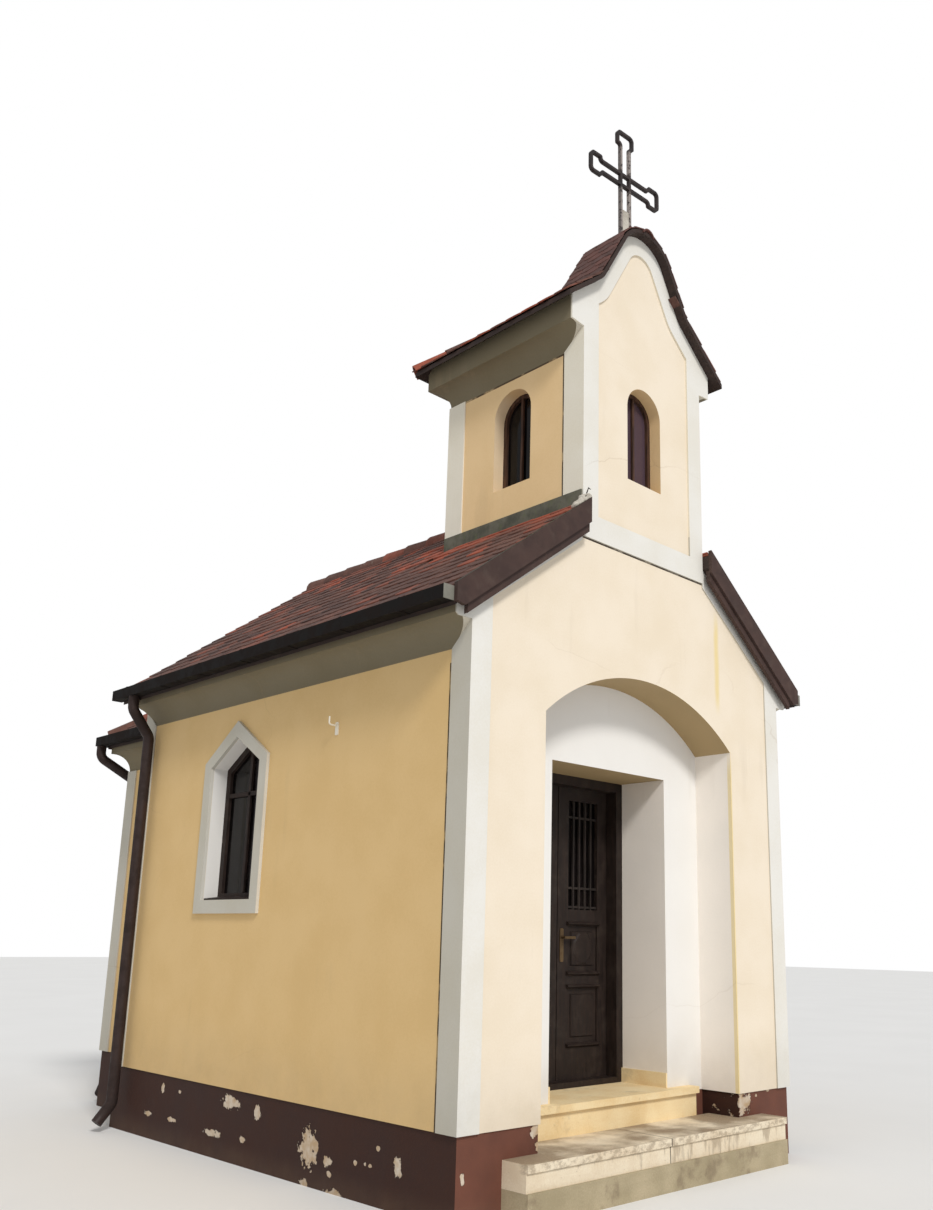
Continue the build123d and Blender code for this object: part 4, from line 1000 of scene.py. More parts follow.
class Finishes:
    """All the chapel's materials, each built once."""

    def __init__(self) -> None:
        """Build every material."""
        # Painted light: the ochre's shaded, sunned and high colours paint the shaded sides, the sunlit front and
        # brighter light above 4.6 m; its recess blocks paint shade lines.
        ochre = PlasterFinish(
            "ochre_plaster",
            shaded=tint(223, 190, 134),
            sunned=tint(241, 228, 208),
            lining=tint(238, 236, 232),
            high=tint(235, 203, 154),
            recess_shades=(
                (
                    (-1.70, 0.165, PAVING + 0.31), (-1.68, 0.193, PAVING + 3.02)
                ),  # behind the nave's pilaster
                (
                    (-0.70, 0.175, PAVING + 4.0), (-0.68, 0.201, PAVING + 5.57)
                ),  # the belfry side's front edge
                ((-0.70, 1.276, PAVING + 4.0), (-0.68, 1.290, PAVING + 5.57)),  # its rear edge
                ((-0.70, 0.180, PAVING + 5.559), (-0.68, 1.290, PAVING + 5.576)),  # under its cornice
                ((-0.70, -0.002, PAVING + 4.082), (0.70, 0.002, PAVING + 4.096)),  # under the belfry's band
            ),
            has_run=True,
        )
        # Painted light: the white's shaded, sunned and high colours paint the shaded sides, the sunlit front and
        # brighter light above 4.6 m.
        white = PlasterFinish(
            "white_plaster",
            shaded=tint(196, 192, 180),
            sunned=tint(233, 231, 225),
            stain=tint(150, 146, 134),
            high=tint(234, 228, 212),
        )
        self.ochre = ochre.material()
        self.white = white.material()
        # Painted shade: the cornices' shaded colour is darkened to paint the deep shade under the eaves.
        self.soffit = PlasterFinish(
            "cornice_plaster", tint(122, 112, 89), tint(212, 205, 190), stain_level=0.4
        ).material()
        self.plinth = PeelingPaintFinish("plinth_paint").material()
        self.tile = TileFinish("clay_tile").material()
        self.crown_tile = TileFinish(
            "crown_tile", tint(72, 50, 46), tint(98, 62, 55), tint(116, 68, 56)
        ).material()
        self.sand = StoneFinish(
            "sand_stone", tint(243, 223, 180), tint(229, 200, 148), soil_level=0.25, pitting=0.25
        ).material()
        self.step = StoneFinish(
            "step_stone",
            tint(238, 226, 202),
            tint(218, 200, 172),
            soil=tint(120, 98, 72),
            soil_limit=0.66,
            joints=(-0.02,),
            tread_soil=0.85,
            nosing=(0.262, 0.315),
            speckle=0.25,
        ).material()
        self.concrete = StoneFinish(
            "washed_concrete", tint(188, 173, 143), tint(158, 145, 116), speckle=0.4, pitting=0.4
        ).material()
        self.board = TimberFinish(
            "barge_board",
            tint(64, 48, 44),
            tint(76, 58, 53),
            (1.0, 1.0, 1.0),
            dust=0.08,
            edge=tint(60, 60, 50),
        ).material()
        self.boarding = TimberFinish(
            "roof_boarding", tint(50, 39, 36), tint(62, 48, 43), (14.0, 1.0, 14.0), dust=0.05
        ).material()
        self.door = TimberFinish(
            "door_timber", tint(30, 22, 19), tint(46, 35, 30), (12.0, 12.0, 1.0), roughness=0.55, dust=0.05
        ).material()
        self.sash = TimberFinish(
            "sash_timber",
            tint(30, 22, 20),
            tint(50, 36, 30),
            (12.0, 12.0, 1.0),
            dust=0.06,
            high=tint(84, 58, 44),
        ).material()
        self.gutter = MetalFinish(
            "gutter_coat", tint(18, 15, 14), tint(32, 26, 24), rust_limit=0.7, roughness=0.7, shine=0.12
        ).material()
        self.downpipe = MetalFinish(
            "downpipe_coat", tint(52, 38, 35), tint(42, 31, 28), rust=tint(70, 48, 38), roughness=0.6
        ).material()
        self.flashing = MetalFinish(
            "lead_flashing",
            tint(104, 102, 88),
            tint(76, 76, 66),
            rust=tint(92, 96, 70),
            rust_limit=0.55,
            roughness=0.6,
        ).material()
        self.cap = MetalFinish(
            "grey_zinc", tint(132, 130, 120), tint(108, 106, 98), roughness=0.55
        ).material()
        self.iron = MetalFinish(
            "dark_iron", tint(36, 31, 29), tint(54, 46, 42), metallic=0.2, roughness=0.6
        ).material()
        self.cross = CrossFinish("cross_iron").material()
        self.hook = MetalFinish(
            "painted_hook", tint(244, 238, 224), tint(222, 212, 190), roughness=0.6
        ).material()
        self.brass = MetalFinish(
            "aged_brass", tint(112, 92, 66), tint(80, 64, 46), metallic=0.7, roughness=0.45
        ).material()
        self.mortar = StoneFinish(
            "mortar", tint(214, 208, 196), tint(160, 152, 140), pitting=0.5, soil_limit=0.5
        ).material()
        self.glass = GlassFinish("dusty_glass").material()


def keep(
    bm: bmesh.types.BMesh,
    name: str,
    material: bpy.types.Material,
    body: str = BUILDING,
    smooth: bool = False,
) -> bpy.types.Object:
    """Turn a finished bmesh into a piece that rides on a body.

    Args:
        bm: The finished shape, freed here.
        name: The piece's name.
        material: Its material.
        body: The body that it rides on.
        smooth: Whether its faces are shaded smooth.

    Returns:
        The piece.
    """
    mesh = bpy.data.meshes.new(name)
    bm.to_mesh(mesh)
    bm.free()
    mesh.materials.append(material)
    for polygon in mesh.polygons:
        polygon.use_smooth = smooth
    piece = bpy.data.objects.new(name, mesh)
    bpy.context.scene.collection.objects.link(piece)
    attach(piece, body)
    LOG.info("%s: %d faces", name, len(mesh.polygons))
    return piece


def add_block(
    bm: bmesh.types.BMesh, low: Sequence[float], high: Sequence[float], edge: float = 0.0
) -> list[bmesh.types.BMVert]:
    """Add a block between two corners, its edges softened if asked.

    Args:
        bm: The shape being made.
        low: The lowest corner.
        high: The highest corner.
        edge: The width of the softened edges.

    Returns:
        The block's vertices.
    """
    size = Vector(high) - Vector(low)
    middle = (Vector(high) + Vector(low)) / 2
    place = Matrix.Translation(middle) @ Matrix.Diagonal((*size, 1.0))
    verts = bmesh.ops.create_cube(bm, size=1.0, matrix=place)["verts"]
    if edge > 0:
        edges = list({link for vert in verts for link in vert.link_edges})
        made = bmesh.ops.bevel(
            bm, geom=edges, offset=edge, offset_type="OFFSET", segments=2, profile=0.5, affect="EDGES", material=-1
        )
        verts = list(
            {vert for face in made["faces"] for vert in face.verts} | {v for v in verts if v.is_valid}
        )
    return verts


def add_on_side(
    bm: bmesh.types.BMesh, side: int, low: Sequence[float], high: Sequence[float], edge: float = 0.0
) -> list[bmesh.types.BMVert]:
    """Add a block given for the right side on either side of the centre line."""
    first, last = sorted((side * low[0], side * high[0]))
    return add_block(bm, (first, *low[1:]), (last, *high[1:]), edge)


def top_of(made: dict[str, list[object]]) -> list[bmesh.types.BMVert]:
    """Return the vertices that an extrusion made."""
    return [item for item in made["geom"] if isinstance(item, bmesh.types.BMVert)]


def wear_edges(bm: bmesh.types.BMesh, amount: float, scale: float, seed: float) -> None:
    """Move the vertices of a shape by a slow noise, so that its edges look worn.

    Args:
        bm: The shape.
        amount: How far a vertex may move.
        scale: The noise's scale.
        seed: Where in the noise it starts.
    """
    noise.seed_set(NOISE_SEED)
    shift = Vector((seed, seed * 0.7, -seed))
    for vert in bm.verts:
        vert.co += noise.noise_vector(vert.co * scale + shift) * amount


@dataclass
class TileShape:
    """A round-nosed plain tile, its nose at the origin and its length towards +Y."""

    width: float = 0.170
    length: float = 0.300
    thickness: float = 0.013
    nose: float = 0.045
    points: int = 14

    def bmesh(self) -> bmesh.types.BMesh:
        """Model the tile.

        Returns:
            The tile's shape.
        """
        bm = bmesh.new()
        bmesh.ops.create_circle(bm, cap_ends=True, segments=self.points, radius=self.width / 2)
        upper = [vert for vert in bm.verts if vert.co.y > 1e-5]
        bmesh.ops.scale(bm, vec=(1.0, 2 * self.nose / self.width, 1.0), verts=bm.verts)
        bmesh.ops.scale(bm, vec=(1.0, 0.02, 1.0), verts=upper)
        bmesh.ops.translate(bm, vec=(0.0, self.length - self.nose, 0.0), verts=upper)
        bmesh.ops.translate(bm, vec=(0.0, self.nose, 0.0), verts=bm.verts)
        made = bmesh.ops.extrude_face_region(bm, geom=list(bm.faces))
        top = top_of(made)
        bmesh.ops.translate(bm, vec=(0.0, 0.0, self.thickness), verts=top)
        bmesh.ops.recalc_face_normals(bm, faces=bm.faces)
        rim = [edge for edge in bm.edges if all(vert.co.z > self.thickness / 2 for vert in edge.verts)]
        bmesh.ops.bevel(
            bm, geom=rim, offset=0.003, offset_type="OFFSET", segments=1, profile=0.5, affect="EDGES", material=-1
        )
        return bm


class Tone(Enum):
    """How a tile was fired and how it has weathered, as the middle of its tone."""

    WEATHERED = 0.30
    REDDISH = 0.60
    FRESH = 0.92


@dataclass
class RoofFace:
    """A plane of boarding that carries tiles: an eave point, the way up and the way out."""

    eave: Vector
    up: Vector
    out: Vector

    @classmethod
    def sloped(cls, eave: Vector, away: Vector, angle: float, hang: float = 0.0) -> "RoofFace":
        """Lay out a slope.

        Args:
            eave: A point of the boarding's eave.
            away: The level direction in which the slope falls.
            angle: Its angle, in radians.
            hang: How far the first course hangs over the eave.

        Returns:
            The slope.
        """
        up = UPWARD * math.sin(angle) - away * math.cos(angle)
        out = UPWARD * math.cos(angle) + away * math.sin(angle)
        return cls(eave - up * hang, up, out)

    @property
    def sense(self) -> int:
        """Return 1 where the courses run with X or Y, and -1 where they run against it."""
        return 1 if self.along.x + self.along.y > 0 else -1

    @property
    def along(self) -> Vector:
        """Return the direction along the courses."""
        return self.up.cross(self.out)

    def place(self, across: float, rise: float, lift: float, tilt: float, roll: float) -> Matrix:
        """Work out where a tile lies.

        Args:
            across: Its distance along the course.
            rise: Its distance up the slope.
            lift: How far its nose stands off the boarding.
            tilt: Its slope against the boarding, in radians.
            roll: Its small turn in its own plane, in radians.

        Returns:
            The tile's matrix.
        """
        frame = Matrix((self.along, self.up, self.out)).transposed().to_4x4()
        spot = self.eave + self.along * across + self.up * rise + self.out * lift
        return Matrix.Translation(spot) @ frame @ Matrix.Rotation(
            -tilt, 4, "X"
        ) @ Matrix.Rotation(roll, 4, "Z")


@dataclass(frozen=True)
class Bond:
    """How tiles lie: what shows of each, their pitch, lift and tilt, and their roll in degrees."""

    gauge: float
    pitch: float
    lift: float
    tilt: float
    roll: float = 0.5


@dataclass
class TileBed:
    """Collects the tiles of one roof into one shape."""

    shape: TileShape
    seed: int
    bm: bmesh.types.BMesh = field(default_factory=bmesh.new)
    count: int = 0

    def __post_init__(self) -> None:
        """Start the tones, the chances and the pattern tiles."""
        self.chance = random.Random(self.seed)
        self.tone = self.bm.verts.layers.float.new("tone")
        self.pattern = bpy.data.meshes.new("tile_pattern")
        whole = self.shape.bmesh()
        whole.to_mesh(self.pattern)
        whole.free()

    def lay(self, place: Matrix, tone: float, cuts: Iterable[Cut] = ()) -> None:
        """Lay one tile, trimmed where it meets something.

        Args:
            place: Its matrix.
            tone: Its tone, 0 to 1.
            cuts: A point and an outward direction of each plane that trims it.
        """
        mesh = self.pattern.copy()
        mesh.transform(place)
        for spot, outward in cuts:
            mesh = self.trimmed(mesh, spot, outward)
        if len(mesh.vertices):
            before = len(self.bm.verts)
            self.bm.from_mesh(mesh)
            self.bm.verts.ensure_lookup_table()
            for vert in self.bm.verts[before:]:
                vert[self.tone] = tone
            self.count += 1
        bpy.data.meshes.remove(mesh)

    def course(
        self, face: RoofFace, bond: Bond, number: int, first: float, columns: int, sense: int
    ) -> Iterator[tuple[float, Matrix]]:
        """Step along a course, every second one half a tile back.

        Args:
            face: The slope.
            bond: How its tiles lie.
            number: The course's number from the eave.
            first: The first tile's distance along the eave.
            columns: The number of tiles.
            sense: 1 or -1, the way that the distance is counted.

        Yields:
            Each tile's distance and its matrix.
        """
        shift = bond.pitch / 2 if number % 2 else 0.0
        for column in range(columns):
            spot = first + column * bond.pitch - shift
            roll = math.radians(self.chance.gauss(0.0, bond.roll))
            yield spot, face.place(sense * spot, number * bond.gauge, bond.lift, bond.tilt, roll)

    @staticmethod
    def trimmed(mesh: bpy.types.Mesh, spot: Vector, outward: Vector) -> bpy.types.Mesh:
        """Cut off what lies past a plane.

        Args:
            mesh: The tile.
            spot: A point of the plane.
            outward: The direction that is cut off.

        Returns:
            The same mesh, trimmed.
        """
        heights = [(vert.co - spot).dot(outward) for vert in mesh.vertices]
        if not heights or max(heights) <= 0:
            return mesh
        if min(heights) >= 0:
            mesh.clear_geometry()
            return mesh
        part = bmesh.new()
        part.from_mesh(mesh)
        everything = list(part.verts) + list(part.edges) + list(part.faces)
        made = bmesh.ops.bisect_plane(
            part, geom=everything, plane_co=spot, plane_no=outward, clear_outer=True
        )
        rim = [item for item in made["geom_cut"] if isinstance(item, bmesh.types.BMEdge)]
        bmesh.ops.holes_fill(part, edges=rim, sides=0)
        part.to_mesh(mesh)
        part.free()
        return mesh

    def weathered(self, fresh_chance: float, red_chance: float) -> float:
        """Draw a tile's tone.

        Args:
            fresh_chance: The share of newly laid tiles.
            red_chance: The share of reddish tiles.

        Returns:
            The tone.
        """
        draw = self.chance.random()
        kind = Tone.WEATHERED
        if draw < fresh_chance:
            kind = Tone.FRESH
        elif draw < fresh_chance + red_chance:
            kind = Tone.REDDISH
        return min(1.0, max(0.0, kind.value + self.chance.gauss(0.0, 0.10)))

    def finish(self, name: str, material: bpy.types.Material) -> bpy.types.Object:
        """Close the bed.

        Args:
            name: The piece's name.
            material: Its material.

        Returns:
            The piece.
        """
        bpy.data.meshes.remove(self.pattern)
        LOG.info("%s: %d tiles", name, self.count)
        return keep(self.bm, name, material)


@dataclass
class CapShape:
    """A half-round ridge or hip tile, its wide end at the origin and its length towards +Y."""

    wide: float = 0.112
    narrow: float = 0.096
    length: float = 0.400
    thickness: float = 0.014
    steps: int = 10
    sweep: float = math.pi

    def bmesh(self) -> bmesh.types.BMesh:
        """Model the cap.

        Returns:
            The cap's shape.
        """
        bm = bmesh.new()
        start = (math.pi - self.sweep) / 2
        inner = bm.verts.new(
            (
                (self.wide - self.thickness) * math.cos(start),
                0.0,
                (self.wide - self.thickness) * math.sin(start),
            )
        )
        outer = bm.verts.new((self.wide * math.cos(start), 0.0, self.wide * math.sin(start)))
        edge = bm.edges.new((inner, outer))
        bmesh.ops.spin(
            bm, geom=[
                inner, outer, edge
            ], cent=(0, 0, 0), axis=(0, -1, 0), angle=self.sweep, steps=self.steps, use_merge=False
        )
        made = bmesh.ops.extrude_face_region(bm, geom=list(bm.faces))
        far = top_of(made)
        bmesh.ops.translate(bm, vec=(0.0, self.length, 0.0), verts=far)
        ratio = self.narrow / self.wide
        bmesh.ops.scale(bm, vec=(ratio, 1.0, ratio), verts=far)
        bmesh.ops.recalc_face_normals(bm, faces=bm.faces)
        return bm


def lay_caps(
    bed: TileBed, cap: CapShape, start: Vector, end: Vector, drop: float, gauge: float, first: Optional[
        float
    ] = None
) -> None:
    """Lay a row of half-round caps from one point to another.

    Args:
        bed: The bed that collects them.
        cap: Their shape.
        start: Where the first wide end lies.
        end: Where the row ends.
        drop: How far their centre line lies under the row's line.
        gauge: The length of each that shows.
        first: The first cap's tone, if it differs from the rest.
    """
    way = (end - start).normalized()
    side = way.cross(Vector((0.0, 0.0, 1.0))).normalized()
    crown = side.cross(way).normalized()
    frame = Matrix((side, way, crown)).transposed().to_4x4()
    pattern = bpy.data.meshes.new("cap_pattern")
    shape = cap.bmesh()
    shape.to_mesh(pattern)
    shape.free()
    number = max(1, round((end - start).length / gauge))
    pitch = (end - start).length / number
    for index in range(number):
        spot = start + way * (pitch * index) - crown * (drop - bed.chance.uniform(-0.003, 0.003))
        tilt = Matrix.Rotation(math.radians(bed.chance.uniform(-0.8, 0.8)), 4, "Z")
        mesh = pattern.copy()
        mesh.transform(
            Matrix.Translation(spot) @ frame @ tilt @ Matrix.Diagonal(
                (1.0, min(1.0, pitch * 1.12 / cap.length), 1.0, 1.0)
            )
        )
        before = len(bed.bm.verts)
        bed.bm.from_mesh(mesh)
        bed.bm.verts.ensure_lookup_table()
        tone = bed.weathered(0.0, 0.35) if index or first is None else first
        for vert in bed.bm.verts[before:]:
            vert[bed.tone] = tone
        bpy.data.meshes.remove(mesh)
    bpy.data.meshes.remove(pattern)


@dataclass
class NaveRoof:
    """Tiles of the nave's two slopes, with the ridge caps."""

    tile: TileShape = field(default_factory=TileShape)
    gauge: float = 0.148
    joint: float = 0.004
    lift: float = 0.019
    tilt: float = 0.055
    roll: float = 0.5
    slack: float = 0.0015
    eave_hang: float = 0.035
    seed: int = 11
    cap: CapShape = field(default_factory=lambda: CapShape(wide=0.122, narrow=0.108))
    cap_gauge: float = 0.33
    cap_drop: float = 0.118
    cap_line: float = 0.062

    def slope(self, side: int, finishes: Finishes) -> bpy.types.Object:
        """Tile one slope.

        Args:
            side: -1 for the left slope, 1 for the right.
            finishes: The chapel's materials.

        Returns:
            The tiles.
        """
        angle = math.atan(ROOF_FALL)
        reach = ROOF_REACH + self.eave_hang * math.cos(angle)
        eave = Vector((side * reach, 0.0, BOARD_RIDGE - ROOF_FALL * reach))
        face = RoofFace.sloped(eave, Vector((side, 0.0, 0.0)), angle)
        bed = TileBed(self.tile, self.seed + side)
        pitch = self.tile.width + self.joint
        courses = int(reach / math.cos(angle) / self.gauge) + 1
        columns = int((NAVE_REAR - VERGE) / pitch) + 2
        inward = Vector((-side, 0.0, 0.0))
        whole = [(ORIGIN, inward), (BACKWARD * NAVE_REAR, BACKWARD), (BACKWARD * VERGE, FORWARD)]
        for course in range(courses):
            rise = course * self.gauge
            shift = pitch / 2 if course % 2 else 0.0
            for column in range(columns):
                y = VERGE + pitch / 2 + column * pitch - shift
                nose_x = abs(face.eave.x) - rise * math.cos(angle)
                beside = y < BELFRY_REAR + 0.05 and nose_x < BELFRY_HALF + 0.34
                if y < BELFRY_REAR and nose_x < BELFRY_HALF + 0.02:
                    continue
                cuts = list(whole)
                if beside and y < BELFRY_REAR - 0.06:
                    cuts.append((inward * -BELFRY_HALF, inward))
                elif beside:
                    cuts.append((BACKWARD * BELFRY_REAR, FORWARD))
                tone = self.tone(bed, nose_x, y)
                lift = self.lift + bed.chance.uniform(-self.slack, 0.0025)
                roll = math.radians(bed.chance.gauss(0.0, self.roll))
                across = face.sense * (y + bed.chance.uniform(-self.slack, self.slack))
                bed.lay(face.place(across, rise, lift, self.tilt, roll), tone, cuts)
        return bed.finish("left_tiles" if side < 0 else "right_tiles", finishes.tile)

    @staticmethod
    def tone(bed: TileBed, x: float, y: float) -> float:
        """Draw a tone: redder beside the belfry, weathered elsewhere.

        Args:
            bed: The bed being laid.
            x: The nose's distance from the centre line.
            y: The tile's distance behind the facade.

        Returns:
            The tone.
        """
        if y < BELFRY_REAR + 0.5 and x < BELFRY_HALF + 0.28:
            return bed.weathered(0.55, 0.35)
        if x < 0.35:
            return bed.weathered(0.03, 0.5)
        return bed.weathered(0.02, 0.28)

    def ridge(self, finishes: Finishes) -> bpy.types.Object:
        """Lay the ridge caps.

        Args:
            finishes: The chapel's materials.

        Returns:
            The caps.
        """
        bed = TileBed(self.tile, 5)
        start = Vector((0.0, NAVE_REAR, BOARD_RIDGE + self.cap_line))
        end = Vector((0.0, BELFRY_REAR + 0.01, BOARD_RIDGE + self.cap_line))
        lay_caps(bed, self.cap, start, end, self.cap_drop, self.cap_gauge)
        piece = bed.finish("ridge_caps", finishes.tile)
        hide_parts("ridge_tiles")
        return piece

    def build(self, finishes: Finishes) -> None:
        """Lay both slopes and the ridge.

        Args:
            finishes: The chapel's materials.
        """
        for side in SIDES:
            self.slope(side, finishes)
        self.ridge(finishes)


@dataclass
class RearRoof:
    """Tiles and hip caps of the low hipped roof over the rear room."""

    tile: TileShape = field(default_factory=TileShape)
    bond: Bond = Bond(gauge=0.148, pitch=0.174, lift=0.019, tilt=0.055)
    cap: CapShape = field(default_factory=lambda: CapShape(wide=0.100, narrow=0.086))
    cap_gauge: float = 0.33
    cap_drop: float = 0.065
    seed: int = 23
    ridge: float = PAVING + 4.316
    reach: float = 1.465
    front: float = 4.220
    back: float = 5.505
    hang: float = 0.030

    def faces(self) -> list[tuple[RoofFace, float, float, float, list[Cut]]]:
        """List the three slopes.

        Returns:
            Each slope's face, its first and last place along the eave, its length and its cuts.
        """
        eave = self.ridge - ROOF_FALL * self.reach
        angle = math.atan(ROOF_FALL)
        rear_angle = math.atan((self.ridge - eave) / (self.back - self.front))
        depth = self.back - self.front
        peak = BACKWARD * self.front
        behind_gable = (BACKWARD * (self.front + 0.082), FORWARD)
        found: list[tuple[RoofFace, float, float, float, list[Cut]]] = []
        rear_cuts: list[Cut] = []
        for side in SIDES:
            start = Vector((side * self.reach, 0.0, eave))
            face = RoofFace.sloped(start, Vector((side, 0.0, 0.0)), angle, self.hang)
            hip = Vector((-side * depth, self.reach, 0.0)).normalized()
            length = self.reach / math.cos(angle)
            found.append((face, self.front, self.back, length, [(peak, hip), behind_gable]))
            rear_cuts.append((peak, -hip))
        face = RoofFace.sloped(Vector((0.0, self.back, eave)), BACKWARD, rear_angle, self.hang)
        found.append((face, -self.reach, self.reach, depth / math.cos(rear_angle), rear_cuts))
        return found

    def build(self, finishes: Finishes) -> None:
        """Lay the three slopes and the two hips.

        Args:
            finishes: The chapel's materials.
        """
        bed = TileBed(self.tile, self.seed)
        pitch = self.bond.pitch
        for face, first, last, length, cuts in self.faces():
            columns = int((last - first) / pitch) + 3
            for number in range(int((length + self.hang) / self.bond.gauge) + 1):
                for _, place in bed.course(face, self.bond, number, first - pitch / 2, columns, face.sense):
                    bed.lay(place, bed.weathered(0.03, 0.3), cuts)
        eave = self.ridge - ROOF_FALL * self.reach
        for side in SIDES:
            corner = Vector((side * self.reach, self.back, eave + 0.045))
            top = Vector((0.0, self.front + 0.10, self.ridge - 0.02))
            lay_caps(bed, self.cap, corner, top, self.cap_drop, self.cap_gauge)
        bed.finish("rear_tiles", finishes.tile)


@dataclass
class BelfryRoof:
    """Tiles and caps of the belfry's hipped roof and of the crown over its front wall."""

    ridge: float = PAVING + 6.6542
    fall: float = 0.839
    reach: float = 0.930
    front: float = -0.083
    crown_back: float = 0.344
    back: float = 1.640
    crown_centre: float = PAVING + 6.465
    crown_radius: float = 0.330
    crown_angle: float = math.radians(60.5)
    crown_x: float = -0.035
    hang: float = 0.012
    seed: int = 31
    tile: TileShape = field(
        default_factory=lambda: TileShape(width=0.165, length=0.205, nose=0.040, thickness=0.011)
    )
    bond: Bond = Bond(gauge=0.125, pitch=0.168, lift=0.014, tilt=0.05)
    dull_to: float = 0.300
    crown_seed: int = 37
    crown_gauge: float = 0.080
    crown_chord: float = 0.070
    crown_tile: TileShape = field(
        default_factory=lambda: TileShape(width=0.139, length=0.125, nose=0.028, thickness=0.010)
    )
    crown_bond: Bond = Bond(gauge=0.0, pitch=0.142, lift=0.013, tilt=0.06, roll=0.6)

    @property
    def hip_top(self) -> Vector:
        """Return where the hips meet the ridge."""
        return Vector((0.0, self.back - self.reach, self.ridge))

    def crown_foot(self, side: int) -> Vector:
        """Work out where a flank of the crown meets the slope.

        Args:
            side: -1 for the left, 1 for the right.

        Returns:
            The place, its X counted outwards from the centre line.
        """
        steep = math.tan(self.crown_angle)
        shoulder_x = self.crown_radius * math.sin(self.crown_angle) + side * self.crown_x
        shoulder_z = self.crown_centre + self.crown_radius * math.cos(self.crown_angle)
        across = (shoulder_z + steep * shoulder_x - self.ridge) / (steep - self.fall)
        return Vector((across, 0.0, self.ridge - self.fall * across))

    def crown_line(self, side: int) -> list[Vector]:
        """Work out one side's line of the crown.

        Args:
            side: -1 for the left, 1 for the right.

        Returns:
            Its points from the foot to the top, their X counted outwards from the centre line.
        """
        points = [self.crown_foot(side)]
        for step in range(25):
            angle = self.crown_angle * (1 - step / 24)
            across = self.crown_radius * math.sin(angle) + side * self.crown_x
            points.append(Vector((across, 0.0, self.crown_centre + self.crown_radius * math.cos(angle))))
        return points

    @staticmethod
    def along(points: Sequence[Vector], distance: float) -> Vector:
        """Find a place on a line.

        Args:
            points: The line's points.
            distance: How far along it the place is.

        Returns:
            The place.
        """
        for first, second in zip(points, points[1:]):
            run = (second - first).length
            if distance <= run:
                return first.lerp(second, distance / run)
            distance -= run
        return points[-1]

    def side_slope(self, bed: TileBed, side: int) -> None:
        """Tile one side's slope, up to the ridge, the hip and the crown.

        Args:
            bed: The bed that collects the tiles.
            side: -1 for the left, 1 for the right.
        """
        angle = math.atan(self.fall)
        eave = Vector((side * self.reach, 0.0, self.ridge - self.fall * self.reach))
        face = RoofFace.sloped(eave, Vector((side, 0.0, 0.0)), angle, self.hang)
        first = self.front + self.bond.pitch / 2
        columns = int((self.back - self.front) / self.bond.pitch) + 2
        cuts = [
            (ORIGIN, Vector((-side, 0.0, 0.0))),
            (self.hip_top, Vector((-side, 1.0, 0.0)).normalized()),
            (BACKWARD * self.front, FORWARD),
        ]
        behind_crown = (BACKWARD * self.crown_back, FORWARD)
        for number in range(int(self.reach / math.cos(angle) / self.bond.gauge) + 1):
            nose_x = abs(face.eave.x) - number * self.bond.gauge * math.cos(angle)
            trims = cuts if nose_x > self.crown_foot(side).x else [*cuts, behind_crown]
            for spot, place in bed.course(face, self.bond, number, first, columns, face.sense):
                tone = bed.weathered(0.03 if number else 0.2, 0.4)
                if number >= 2 and spot <= self.dull_to:
                    tone = min(tone, Tone.WEATHERED.value)
                bed.lay(place, tone, trims)

    def rear_slope(self, bed: TileBed) -> None:
        """Tile the rear slope between the hips.

        Args:
            bed: The bed that collects the tiles.
        """
        angle = math.atan(self.fall)
        eave = Vector((0.0, self.back, self.ridge - self.fall * self.reach))
        face = RoofFace.sloped(eave, BACKWARD, angle, self.hang)
        first = -self.reach - self.bond.pitch / 2
        columns = int(2 * self.reach / self.bond.pitch) + 3
        cuts = [(self.hip_top, Vector((side, -1.0, 0.0)).normalized()) for side in SIDES]
        for number in range(int(self.reach / math.cos(angle) / self.bond.gauge) + 1):
            for _, place in bed.course(face, self.bond, number, first, columns, 1):
                bed.lay(place, bed.weathered(0.03, 0.4), cuts)

    def crown(self, bed: TileBed, side: int) -> None:
        """Tile one flank of the crown, following its curve.

        Args:
            bed: The bed that collects the tiles.
            side: -1 for the left, 1 for the right.
        """
        line = self.crown_line(side)
        length = sum((second - first).length for first, second in zip(line, line[1:]))
        bond = self.crown_bond
        first = self.front + bond.pitch / 2
        columns = int((self.crown_back - self.front) / bond.pitch) + 2
        cuts = [
            (Vector((self.crown_x, 0.0, 0.0)), Vector((-side, 0.0, 0.0))),
            (BACKWARD * self.front, FORWARD),
            (BACKWARD * self.crown_back, BACKWARD),
        ]
        for number in range(int(length / self.crown_gauge)):
            start = self.along(line, number * self.crown_gauge)
            way = (self.along(line, number * self.crown_gauge + self.crown_chord) - start).normalized()
            up = Vector((side * way.x, 0.0, way.z))
            out = Vector((side * way.z, 0.0, -way.x))
            face = RoofFace(Vector((side * start.x, 0.0, start.z)), up, out)
            for _, place in bed.course(face, bond, number, first, columns, face.sense):
                bed.lay(place, bed.weathered(0.0, 0.5), cuts)

